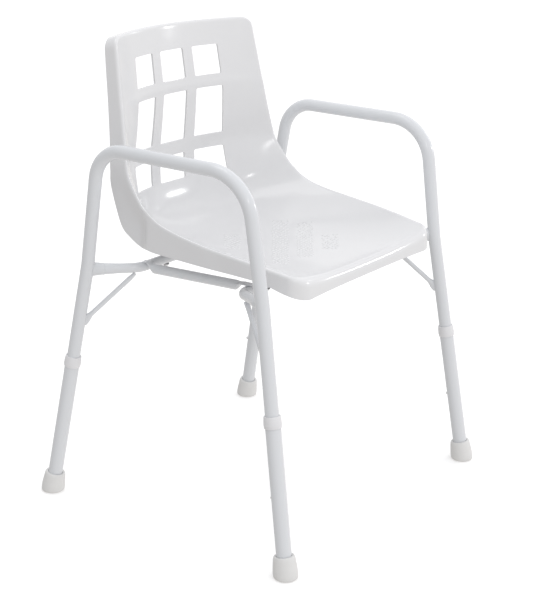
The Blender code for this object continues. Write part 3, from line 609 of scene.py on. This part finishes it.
def foot_wall(place, turn, height):
    """A point of a foot's outer wall, widest at its shoulder and a little tucked in below."""
    if height > FOOT_SHOULDER:
        share = (height - FOOT_SHOULDER) / (FOOT_TOP - FOOT_SHOULDER)
        radius = FOOT_MAX_R + (FOOT_TOP_R - FOOT_MAX_R) * share ** 1.15
    else:
        radius = FOOT_MAX_R - 0.0006 * ((FOOT_SHOULDER - height) / FOOT_SHOULDER) ** 2
    return place @ round_point(radius, turn, height)


def foot_height(place, turn, level):
    """How far up the leg a foot's wall reaches a level above the floor."""
    low, high = -0.02, 0.03
    for _ in range(24):
        middle = (low + high) / 2
        if foot_wall(place, turn, middle).z > level:
            high = middle
        else:
            low = middle
    return (low + high) / 2


def make_foot(leg):
    """A rubber ferrule with a level sole that has moulded rings."""
    place = leg_matrix(leg)
    bore = LEG_TUBE_R + GAP
    mouth = [(bore, FOOT_FLOOR), (bore, FOOT_TOP - 0.0006), (bore + 0.0006, FOOT_TOP),
             (FOOT_TOP_R - 0.0022, FOOT_TOP + 0.0002), (FOOT_TOP_R - 0.0009, FOOT_TOP - 0.0004),
             (FOOT_TOP_R - 0.0003, FOOT_TOP - 0.0013), (FOOT_TOP_R - 0.0001, FOOT_TOP - 0.003)]
    centre = FLOOR_POINTS[leg] * Vector((1, 1, 0))
    columns = []
    for turn in turns(64):
        column = [place @ round_point(radius, turn, height) for radius, height in mouth]
        top = FOOT_TOP - 0.0042
        drop = foot_height(place, turn, FOOT_FILLET) - top
        column += [foot_wall(place, turn, top + drop * step / 8) for step in range(9)]
        rim = column[-1]
        inwards = (centre - Vector((rim.x, rim.y, 0))).normalized()
        for step in range(1, 6):
            angle = math.pi / 2 * step / 5
            point = rim + inwards * FOOT_FILLET * (1 - math.cos(angle))
            point.z = FOOT_FILLET * (1 - math.sin(angle))
            column.append(point)
        sole = column[-1]
        for groove in SOLE_GROOVES:
            for share, depth in zip(groove, (0, GROOVE_DEPTH, GROOVE_DEPTH, 0)):
                point = centre.lerp(sole, share)
                point.z = depth
                column.append(point)
        columns.append(column)
    add_piece(f"rubber_foot_{leg}", skinned(zip(*columns)), "foot_rubber", f"leg_{leg}",
              [f"foot_{leg}"], sharp=50)


def make_snap_button(leg):
    """The button's pin and domed end, pointing out of the leg."""
    profile = [(0.0, 0.008), (0.0046, 0.008), (0.0048, 0.0082), (0.0048, 0.0092),
               (0.0032, 0.0092), (0.0032, 0.0163)]
    for step in range(1, 7):
        angle = math.pi / 2 * step / 6
        profile.append((0.0032 * math.cos(angle), 0.0163 + 0.0019 * math.sin(angle)))
    profile[-1] = (0.0, profile[-1][1])
    place = button_matrix(leg) @ Matrix.Rotation(math.pi / 2, 4, "Y")
    add_piece(f"leg_button_{leg}", skinned(round_rings(profile, 32)), "bright_steel",
              f"button_{leg}", [f"snap_button_{leg}"], place)


def make_button_spring(leg):
    """A V of flat spring steel in the leg, one arm behind the button."""
    coarse = rounded_path([(x, 0.0, z) for x, z in SPRING_PATH], SPRING_BENDS, 6)
    path = [coarse[0]]
    for before, after in zip(coarse, coarse[1:]):
        pieces = math.ceil((after - before).length / SPRING_STEP)
        path += [before.lerp(after, piece / pieces) for piece in range(1, pieces + 1)]
    side = Vector((0, SPRING_HALF_WIDTH, 0))
    rings = []
    for point, (tangent, _, _) in zip(path, path_frames(path)):
        face = Vector((tangent.z, 0, -tangent.x)) * SPRING_HALF_THICKNESS
        rings.append([point + face * thick + side * wide
                      for thick, wide in ((1, -1), (1, 1), (-1, 1), (-1, -1))])
    place = button_matrix(leg)
    still, moving = (place @ Vector((x, 0, 0)) for x in (SPRING_STILL_X, SPRING_MOVING_X))
    add_piece(f"v_spring_{leg}", skinned(rings), "spring_steel", "frame",
              [f"button_spring_{leg}"], place, bend=(f"button_{leg}", still, moving))


# ---- tubes under the seat

def make_cross_tube(end_name, end):
    """A bent tube that widens a little where it enters its sockets."""
    mouths = []
    for side_name, side in SIDES.items():
        start, direction = socket_line(f"{end_name}_{side_name}", side, end)
        mouths.append(start + direction * (FRAME_TUBE_R + 0.012))
    path = rounded_path([mouths[0], elbow_of(-1, end), elbow_of(1, end), mouths[1]],
                        [CROSS_BEND, CROSS_BEND], 20)
    first = [path[0].lerp(path[1], step / 24) for step in range(24)]
    last = [path[-2].lerp(path[-1], step / 24) for step in range(1, 25)]
    rows = []
    for point in first + path[1:-1] + last:
        distance = min((point - mouth).length for mouth in mouths)
        radius = CROSS_TUBE_R + CROSS_SWELL * (1 - smooth((distance - 0.008) / 0.035))
        rows.append((point, radius, radius))
    name = f"{end_name}_cross_tube"
    add_piece(f"{name}_bar", skinned(elliptical_rings(rows, 36)), "white_paint", "frame", [name])


def cope_distance(origin, direction, leg, height):
    """How far along a line from inside the leg its skin lies."""
    up = UPS[leg]
    base = leg_point(leg, height)
    d = direction - up * direction.dot(up)
    o = (origin - base) - up * (origin - base).dot(up)
    a, b, c = d.dot(d), 2 * d.dot(o), o.dot(o) - FRAME_TUBE_R ** 2
    root = max(b * b - 4 * a * c, 0.0)
    return (-b + math.sqrt(root)) / (2 * a)


def bead_rings(points, normals, outwards):
    """Rings of a rippled weld bead, which lies half sunk along a closed line."""
    for index, (point, normal, outward) in enumerate(zip(points, normals, outwards)):
        ripple = math.sin(2 * math.pi * BEAD_RIPPLES * index / len(points))
        swell = BEAD_R * (1 + 0.1 * ripple)
        yield [point + normal * swell * math.cos(turn) + outward * swell * math.sin(turn)
               for turn in turns(8)]


def make_socket(leg, side, end):
    """A sleeve pressed tall and narrow where it is welded to the leg, round at the tube."""
    start, direction = socket_line(leg, side, end)
    base = leg_point(leg, JOINT_Z[end])
    turned_to = axis_matrix(start, direction, UPWARDS).to_3x3()
    far = FRAME_TUBE_R + SOCKET_LENGTH
    lip = [(SOCKET_END_R - 0.0002, far - 0.0002), (SOCKET_END_R - 0.0005, far),
           (CROSS_TUBE_R + CROSS_SWELL, far - 0.0006)]
    columns, bead = [], []
    for turn in turns(56):

        def outwards(high, wide):
            return turned_to @ Vector((high * math.cos(turn), wide * math.sin(turn), 0))

        mouth = outwards(SOCKET_LEG_HALF_HEIGHT, SOCKET_LEG_HALF_WIDTH)
        tube_end = outwards(SOCKET_END_R, SOCKET_END_R)
        reach = cope_distance(start + mouth, direction, leg, JOINT_Z[end]) - 0.0004
        column = []
        for step in range(15):
            share = step / 14
            distance = reach + (far - 0.0006 - reach) * share
            column.append(start + direction * distance
                          + mouth.lerp(tube_end, smooth(share * 1.15)))
        column += [start + direction * distance + outwards(radius, radius)
                   for radius, distance in lip]
        columns.append(column)
        point = start + direction * reach + mouth
        away = point - base
        normal = (away - UPS[leg] * away.dot(UPS[leg])).normalized()
        bead.append((point, normal, outwards(1, 1)))
    add_piece(f"socket_sleeve_{leg}", skinned(zip(*columns), "open"), "white_paint",
              "frame", [f"socket_{leg}"])
    add_piece(f"socket_weld_{leg}", skinned(bead_rings(*zip(*bead)), "joined"), "white_paint",
              "frame", sharp=60)


def rail_point(side, share):
    return mirrored(RAIL_REAR, side, 1).lerp(mirrored(RAIL_FRONT, side, 1), share)


def make_rail(side_name, side):
    """A round tube whose ends are pressed into flat, round-tipped tongues."""
    rear, front = rail_point(side, 0.0), rail_point(side, 1.0)
    flat_along = ((front - rear) * Vector((1, 1, 0))).normalized()

    def half(end_point, outwards, length):
        made = []
        tip = RAIL_TAPER + length
        for step in range(9):
            back = min(TONGUE_HALF_WIDTH, length) * (1 - math.cos(math.pi / 2 * step / 8))
            wide = TONGUE_HALF_WIDTH * math.sin(math.pi / 2 * step / 8)
            point = end_point + outwards * (tip - back)
            point.z = TONGUE_Z
            made.append((point, max(wide, 0.0004), TONGUE_HALF_THICKNESS))
        for step in range(1, 13):
            point = end_point + outwards * RAIL_TAPER * (1 - step / 12)
            flat = 1 - smooth(step / 12)
            point.z = end_point.z + (TONGUE_Z - end_point.z) * flat
            wide = RAIL_R + (TONGUE_HALF_WIDTH - RAIL_R) * flat ** 0.7
            high = RAIL_R + (TONGUE_HALF_THICKNESS - RAIL_R) * flat ** 0.8
            made.append((point, wide, high))
        return made

    rows = half(rear, -flat_along, RAIL_TONGUE[1])
    rows += [(rail_point(side, step / 10), RAIL_R, RAIL_R) for step in range(1, 10)]
    rows += reversed(half(front, flat_along, RAIL_TONGUE[-1]))
    across = flat_along.cross(UPWARDS).normalized()
    rings = elliptical_rings(rows, 32, (flat_along, across, UPWARDS))
    name = f"seat_rail_{side_name}"
    add_piece(f"{name}_bar", skinned(rings), "white_paint", "frame", [name], sharp=50)


def make_brace(leg, side, end):
    """A thin rod with a flared lower end on the leg and a flattened top under the tube."""
    low = leg_point(leg, BRACE_LEG_HEIGHT[end])
    high = elbow_of(side, end).lerp(socket_line(leg, side, end)[0], BRACE_TOP_SHARE[end])
    high.z -= BRACE_TOP_DROP
    direction = (high - low).normalized()
    length = (high - low).length
    across = direction.cross(UPS[leg]).normalized()
    upward = across.cross(direction).normalized()
    inset = FRAME_TUBE_R * 0.85
    rows = []
    for step in range(41):
        distance = inset + (length - inset) * step / 40
        flare = 1 - smooth((distance - FRAME_TUBE_R * 1.2) / 0.022)
        top = smooth((distance - length + 0.016) / 0.016)
        wide = BRACE_R - 0.0016 * flare + 0.001 * top
        tall = BRACE_R + 0.0052 * flare - 0.0014 * top
        rows.append((low + direction * distance, wide, tall))
    rings = elliptical_rings(rows, 28, (direction, across, upward))
    add_piece(f"brace_rod_{leg}", skinned(rings), "white_paint", "frame", [f"brace_{leg}"])


# ---- seat shell

def through(values, place):
    """A smooth curve through evenly numbered values (Catmull-Rom), read at a place."""
    last = len(values) - 1
    index = min(max(int(place), 0), last - 1)
    share = place - index
    before = values[index - 1] if index > 0 else values[0] * 2 - values[1]
    first, second = values[index], values[index + 1]
    after = values[index + 2] if index + 2 <= last else values[last] * 2 - values[last - 1]
    return 0.5 * (2 * first + (second - before) * share
                  + (2 * before - 5 * first + 4 * second - after) * share ** 2
                  + (3 * first - before - 3 * second + after) * share ** 3)


MIDDLE = [Vector((0.0, *row[0])) for row in STATIONS]
RIM = [Vector(row[1]) for row in STATIONS]
EDGE = [Vector(row[2]) for row in STATIONS]
POWER = [row[3] for row in STATIONS]
LAST_STATION = len(STATIONS) - 1
RIM_STEPS = 9
SKIRT_STEPS = 9
FRONT_ROOM = (0.53, 2.0)        # first grid row, and the station up to which rows are moved
TOP_ROOM = (LAST_STATION - 0.15, LAST_STATION - 1.0)
SIDE_ROOM = (0.59, 0.963)


def shell_point(station, share):
    middle, rim = through(MIDDLE, station), through(RIM, station)
    rise = (rim - middle) * abs(share) ** through(POWER, station)
    return Vector((rim.x * share, middle.y + rise.y, middle.z + rise.z))


def shell_skirt(station, share):
    side = through(EDGE, station) - through(RIM, station)
    return Vector((math.copysign(side.x, share), side.y, side.z))


def corner_of(share, from_front):
    """The radius of the front or top end's corner, and how far out in it a share lies."""
    rim, radius = (RIM[0], FRONT_CORNER_R) if from_front else (RIM[-1], TOP_CORNER_R)
    beyond = abs(share) * rim.x - (rim.x - radius)
    return radius, min(max(beyond / radius, 0.0), 1.0)


def bent_station(station, share):
    from_front = station < LAST_STATION / 2
    ends = RIM[:2] if from_front else RIM[-2:]
    step = (ends[1] - ends[0]).length
    distance = (station if from_front else LAST_STATION - station) * step
    if distance >= CORNER_REACH:
        return station
    radius, out = corner_of(share, from_front)
    bend = radius * (1 - math.sqrt(1 - out ** 2))
    distance = bend + distance * (1 - bend / CORNER_REACH)
    return distance / step if from_front else LAST_STATION - distance / step


def graded(start, stop, length, fine_start, fine_stop):
    """Values from start up to stop, close together beside a window."""
    marks = [FINE_STEP * step for step in range(5 if fine_start else 1)]
    tail = [length - FINE_STEP * step for step in range(4, 0, -1)] if fine_stop else []
    room = (tail[0] if tail else length) - marks[-1]
    steps = max(1, round(room / GRID_STEP))
    marks += [marks[-1] + room * step / steps for step in range(1, steps)]
    return [start + (stop - start) * mark / length for mark in marks + tail]


def shell_rows():
    edges = {place for row in WINDOW_ROWS for place in row}
    rows = []
    for station in range(LAST_STATION):
        length = (MIDDLE[station + 1] - MIDDLE[station]).length
        rows += graded(float(station), float(station + 1), length,
                       station in edges, station + 1 in edges)
    return rows + [float(LAST_STATION)]


def shell_columns():
    half_width = RIM[LAST_STATION // 2].x
    edges = sorted({edge for column in WINDOW_COLUMNS for edge in column if edge > 0})
    corner = 1 - FRONT_CORNER_R / half_width
    marks = [0.0] + edges + [corner]
    half = []
    for start, stop in zip(marks, marks[1:]):
        half += graded(start, stop, (stop - start) * half_width,
                       start in edges, stop in edges)
    half += [1 - (1 - corner) * (1 - math.sin(math.pi / 2 * step / 10)) for step in range(11)]
    return [-share for share in reversed(half[1:])] + half


def rounded_window(station, share, row_step):
    """Moves a window edge's point onto the window's rounded corner."""
    rows = [row for row in WINDOW_ROWS if row[0] - 1e-6 <= station <= row[1] + 1e-6]
    columns = [c for c in WINDOW_COLUMNS if c[0] - 1e-6 <= share <= c[1] + 1e-6]
    if not rows or not columns:
        return station, share
    row, column = rows[0], columns[0]
    half_width = through(RIM, station).x
    row_edge = min(row, key=lambda edge: abs(station - edge))
    column_edge = min(column, key=lambda edge: abs(share - edge))
    v_sign, u_sign = (1 if row_edge == row[0] else -1), (1 if column_edge == column[0] else -1)
    v, u = abs(station - row_edge) * row_step, abs(share - column_edge) * half_width
    radius = WINDOW_CORNER_R
    if min(u, v) > 1e-6 or max(u, v) >= radius:
        return station, share
    angle = math.pi / 4 * (1 - max(u, v) / radius)
    beside, inside = radius * (1 - math.sin(angle)), radius * (1 - math.cos(angle))
    new_u, new_v = (beside, inside) if v <= u else (inside, beside)
    return (station + v_sign * (new_v - v) / row_step,
            share + u_sign * (new_u - u) / half_width)


def in_window(station, share):
    return (any(low < station < high for low, high in WINDOW_ROWS)
            and any(low < share < high for low, high in WINDOW_COLUMNS))


def step_in(point, down, depth_share, first, on_side):
    """Draws a point of the side skirt in behind the seat, and lengthens the skirt there."""
    below = (depth_share - first) / (1 - first)
    along = min(max((point.y - STEP_START_Y) / STEP_WIDTH, 0.0), 1.0)
    depth = STEP_DEPTH * along * (2 - along) * on_side
    depth *= 1 - smooth((point.z - STEP_FADE_Z) / STEP_FADE_HEIGHT)
    depth *= math.sin(math.pi / 2 * min(1.0, 1.6 * below))
    inwards = Vector((-math.copysign(depth, point.x), 0, 0))
    return point + inwards + down.normalized() * depth * depth_share * STEP_DROP


def inner_station(station):
    """The station of a grid row once the rows make room for the rolled front and top rims."""
    if station < FRONT_ROOM[1]:
        return FRONT_ROOM[0] + station * (1 - FRONT_ROOM[0] / FRONT_ROOM[1])
    if station > TOP_ROOM[1]:
        scale = (TOP_ROOM[0] - TOP_ROOM[1]) / (LAST_STATION - TOP_ROOM[1])
        return TOP_ROOM[1] + (station - TOP_ROOM[1]) * scale
    return station


def inner_share(share):
    """The share of the half width once the columns make room for the rolled side rims."""
    start, stop = SIDE_ROOM
    if abs(share) <= start:
        return share
    inner = start + (abs(share) - start) * (stop - start) / (1 - start)
    return math.copysign(inner, share)


def rim_ring(station, share, inner, on_side, from_front):
    """Points from the seat over the rolled rim and down the skirt."""
    crest = shell_point(station, share)
    end = TOP_LIP
    if from_front:
        end = Vector((0.0, FRONT_LIP_LEAN, FRONT_LIP_Z - crest.z))
    down = shell_skirt(station, share).lerp(end, (1.0 - on_side) ** CORNER_BLEND)
    end_roll = FRONT_ROLL if from_front else TOP_ROLL
    roll = end_roll + (SIDE_ROLL - end_roll) * on_side
    stop = crest + down.normalized() * roll
    ring = [rounded(inner, crest, stop, step / RIM_STEPS) for step in range(RIM_STEPS + 1)]
    first = roll / down.length
    for step in range(1, SKIRT_STEPS + 1):
        depth = first + (1 - first) * step / SKIRT_STEPS
        ring.append(step_in(crest + down * depth, down, depth, first, on_side))
    return ring


def shell_loop(last_row, last_column):
    """The grid's outer points in order, once round."""
    loop = [(0, j) for j in range(last_column)]
    loop += [(i, last_column) for i in range(last_row)]
    loop += [(last_row, j) for j in range(last_column, 0, -1)]
    return loop + [(i, 0) for i in range(last_row, 0, -1)]


def shell_skin():
    """The shell's outer skin as a bmesh, windows left out."""
    rows, columns = shell_rows(), shell_columns()
    last_row, last_column = len(rows) - 1, len(columns) - 1
    spots = []
    for row in rows:
        index = min(int(row), LAST_STATION - 1)
        row_step = (MIDDLE[index + 1] - MIDDLE[index]).length
        line = []
        for share in columns:
            station, moved = rounded_window(row, share, row_step)
            station, moved = inner_station(station), inner_share(moved)
            line.append(shell_point(bent_station(station, moved), moved))
        spots.append(line)
    bm = bmesh.new()
    grid = [[bm.verts.new(spot) for spot in row] for row in spots]
    for i in range(last_row):
        for j in range(last_column):
            centre = ((rows[i] + rows[i + 1]) / 2, (columns[j] + columns[j + 1]) / 2)
            if not in_window(*centre):
                bm.faces.new((grid[i][j], grid[i][j + 1], grid[i + 1][j + 1], grid[i + 1][j]))
    lines = []
    for i, j in shell_loop(last_row, last_column):
        from_front = rows[i] < LAST_STATION / 2
        turn = math.asin(corner_of(columns[j], from_front)[1]) / (math.pi / 2)
        ring = rim_ring(bent_station(rows[i], columns[j]), columns[j], spots[i][j],
                        turn if i in (0, last_row) else 1.0, from_front)
        lines.append([grid[i][j]] + [bm.verts.new(point) for point in ring[1:]])
    for line, after in zip(lines, lines[1:] + lines[:1]):
        for step in range(len(line) - 1):
            bm.faces.new((line[step], line[step + 1], after[step + 1], after[step]))
    return bm


def make_seat_shell():
    bm = shell_skin()
    bmesh.ops.recalc_face_normals(bm, faces=bm.faces)
    seat_face = min(bm.faces, key=lambda face: face.calc_center_median().xy.length)
    if seat_face.normal.z < 0:
        bmesh.ops.reverse_faces(bm, faces=bm.faces)
    tree = BVHTree.FromBMesh(bm)
    shell = new_object("moulded_seat", bm)
    shell.data.shade_smooth()
    shell.data.materials.append(MATERIALS["seat_plastic"])
    wall = shell.modifiers.new("wall", "SOLIDIFY")
    wall.thickness = SHELL_THICKNESS
    wall.offset = -1.0
    edge = shell.modifiers.new("edge", "BEVEL")
    edge.width = 0.0013
    edge.segments = 3
    edge.limit_method = "ANGLE"
    edge.angle_limit = math.radians(50)
    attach(shell, "frame")
    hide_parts("seat_shell")
    return tree


def make_pips(tree):
    """Small raised domes that keep the seat from being slippery."""
    source = random.Random(7)
    row_pitch = PIP_PITCH * HEX_ROW
    bm = bmesh.new()
    for start, stop in PIP_BANDS:
        start, stop = Vector(start), Vector(stop)
        along = (stop - start).normalized()
        across = Vector((-along.y, along.x))
        for row in range(int((stop - start).length / row_pitch) + 1):
            offset = -PIP_BAND_HALF_WIDTH + (PIP_PITCH / 2 if row % 2 else 0.0)
            while offset <= PIP_BAND_HALF_WIDTH:
                shift = Vector((source.uniform(-1, 1), source.uniform(-1, 1)))
                shift *= PIP_PITCH * PIP_SCATTER
                spot = start + along * row * row_pitch + across * offset + shift
                add_pip(bm, tree, spot.x, spot.y)
                offset += PIP_PITCH
    add_piece("seat_grip_pips", bm, "seat_plastic", "frame", sharp=0)


def add_pip(bm, tree, x, y):
    place, normal, _, _ = tree.ray_cast(Vector((x, y, 0.7)), -UPWARDS)
    if place is None:
        return
    matrix = axis_matrix(place, normal, (1, 0, 0))
    profile = [(PIP_R, -0.0001), (PIP_R * 0.82, PIP_HEIGHT * 0.45),
               (PIP_R * 0.45, PIP_HEIGHT * 0.9), (0.0, PIP_HEIGHT)]
    rings = [[matrix @ point for point in ring] for ring in round_rings(profile, 8)]
    skinned(rings, "open", bm)


def shell_above(tree, point, bottom):
    """Where the shell's skin is straight above a point, or None."""
    return tree.ray_cast(Vector((point.x, point.y, bottom)), UPWARDS)[0]


def make_boss(leg, side, end, tree):
    """A post under the seat for a bolt, with a flared root and four gussets."""
    middle = bolt_point(side, end)
    bottom = middle.z + CROSS_TUBE_R + GAP
    steps = 12
    columns = []
    for turn in turns(36):
        root = middle + round_point(BOSS_R + 0.003, turn)
        top = shell_above(tree, root, bottom).z - SHELL_THICKNESS * ROOT_DEPTH
        outline = [(0.0036, bottom + 0.004), (0.0036, bottom + 0.0003)]
        for step in range(steps + 1):
            height = bottom + (top - bottom) * step / steps
            flare = 0.003 * smooth(1 - (top - height) / 0.006)
            chamfer = 0.0008 * (1 - smooth((height - bottom) / 0.0012))
            outline.append((BOSS_R + flare - chamfer, height))
        columns.append([middle + round_point(radius, turn, height - middle.z)
                        for radius, height in outline])
    bm = skinned(zip(*columns), "open")
    for index in range(4):
        add_gusset(bm, middle, bottom, math.pi / 4 + math.pi / 2 * index, tree)
    add_piece(f"seat_boss_{leg}", bm, "seat_plastic", "frame", sharp=40)


def add_gusset(bm, middle, bottom, turn, tree):
    sideways = round_point(0.0011, turn + math.pi / 2)
    corners = []
    for radius, at_shell in ((BOSS_R - 0.001, False), (BOSS_R + 0.01, True),
                             (BOSS_R - 0.001, True)):
        point = middle + round_point(radius, turn)
        hit = shell_above(tree, point, bottom)
        if hit is None:
            return
        point.z = hit.z - SHELL_THICKNESS * ROOT_DEPTH if at_shell else bottom + 0.004
        corners.append(point)
    skinned([[corner + sideways * way for corner in corners] for way in (-1, 1)], bm=bm)


def make_bolt(leg, side, end):
    """A pan-head bolt with a hexagon socket, and its washer."""
    middle = bolt_point(side, end)
    under = middle.z - CROSS_TUBE_R - GAP
    washer_low = under - WASHER_THICKNESS
    place = Matrix.Translation((middle.x, middle.y, 0.0))
    edge = 0.0002
    profile = [(WASHER_R - edge, under), (WASHER_R, under - edge), (WASHER_R, washer_low + edge),
               (WASHER_R - edge, washer_low), (0.0034, washer_low), (0.0034, under)]
    add_piece(f"bolt_washer_{leg}", skinned(round_rings(profile, 40), "joined"),
              "bright_steel", "frame", [f"seat_washer_{leg}"], place)
    top = washer_low - GAP
    low = top - BOLT_HEAD_HEIGHT
    profile = [(0.0, middle.z + BOLT_REACH), (0.003, middle.z + BOLT_REACH), (0.003, top),
               (BOLT_HEAD_R - 0.0003, top), (BOLT_HEAD_R, top - 0.0003),
               (BOLT_HEAD_R, top - 0.001), (0.0046, top - 0.0022), (0.0036, top - 0.0029),
               (0.0024, low)]
    rings = round_rings(profile, 36)
    for height in (low, top - 0.0014):
        rings.append([round_point(HEX_HALF / math.cos(turn % (math.pi / 3) - math.pi / 6),
                                  turn, height) for turn in turns(36)])
    add_piece(f"socket_head_bolt_{leg}", skinned(rings), "bright_steel", "frame",
              [f"seat_bolt_{leg}"], place)


# ---- stage

def make_floor():
    """A pale floor that throws no light up at the object."""
    m = Finish("floor")
    tone = m.ramp(m.noise(1.5, 2.0), (0.0, (0.975,) * 3), (1.0, (0.985,) * 3))
    bm = bmesh.new()
    bmesh.ops.create_grid(bm, x_segments=8, y_segments=8, size=30.0)
    floor = new_object("floor", bm)
    floor.data.materials.append(m.set(Roughness=0.9, Base_Color=tone, Emission_Strength=0.12,
                                      Emission_Color=(1.0, 1.0, 1.0, 1.0)))
    floor.location.z = -FLOOR_DROP
    floor.visible_diffuse = floor.visible_glossy = floor.visible_shadow = False


def make_world():
    """An even studio: white above, warm white below, and darker on one side."""
    world = bpy.data.worlds.new("studio")
    world.use_nodes = True
    nodes = Nodes(world.node_tree, "Generated")

    def along(axis, *limits):
        dot = nodes.node("VectorMath", "Value", {0: nodes.coords, 1: axis},
                         operation="DOT_PRODUCT")
        return nodes.between(dot, *limits, kind="SMOOTHSTEP")

    height = along((0, 0, 1), -0.12, 0.1, 0.0, 1.0)
    nodes.fill(nodes.tree.nodes["Background"].inputs, {
        "Color": nodes.mix(height, (*BELOW, 1.0), (*ABOVE, 1.0)),
        "Strength": along(DARK_SIDE, 0.1, 0.98, 1.0, DARK_SIDE_SHARE)})
    SCENE.world = world


def make_lights():
    for name, direction, size, power in SOFT_BOXES:
        away = Vector(direction).normalized()
        data = bpy.data.lights.new(name, "AREA")
        data.size = size
        data.energy = power
        light = linked(name, data)
        light.location = SEAT_CENTRE + away * SOFT_BOX_DISTANCE
        light.rotation_euler = (-away).to_track_quat("-Z", "Y").to_euler()
    SCENE.view_settings.view_transform = "Standard"


def make_camera():
    azimuth, elevation, roll = map(math.radians, CAMERA_TURNS)
    matrix = (Matrix.Rotation(azimuth, 4, "Z") @ Matrix.Rotation(math.pi / 2 - elevation, 4, "X")
              @ Matrix.Rotation(roll, 4, "Z"))
    matrix.translation = CAMERA_PLACE
    data = bpy.data.cameras.new("camera")
    data.lens = CAMERA_LENS
    data.sensor_width = 36.0
    camera = linked("camera", data)
    camera.matrix_world = matrix
    SCENE.camera = camera


def dress_cad_nodes():
    """The nodes that stay as they are get the finished materials."""
    slots = {part["node"]: part["material_slot"] for part in RECORD["subparts"]}
    for name, node in frame["nodes"].items():
        node.data.materials.clear()
        node.data.materials.append(MATERIALS[slots[name]])


def main():
    dress_cad_nodes()
    make_camera()
    make_world()
    make_lights()
    make_floor()
    for side_name, side in SIDES.items():
        make_side_frame(side_name, side)
        make_rail(side_name, side)
    for end_name, end in ENDS.items():
        make_cross_tube(end_name, end)
    tree = make_seat_shell()
    make_pips(tree)
    for leg, side, end in LEGS:
        make_leg_extension(leg)
        make_collar(leg)
        make_foot(leg)
        make_snap_button(leg)
        make_button_spring(leg)
        make_socket(leg, side, end)
        make_brace(leg, side, end)
        make_boss(leg, side, end, tree)
        make_bolt(leg, side, end)


main()
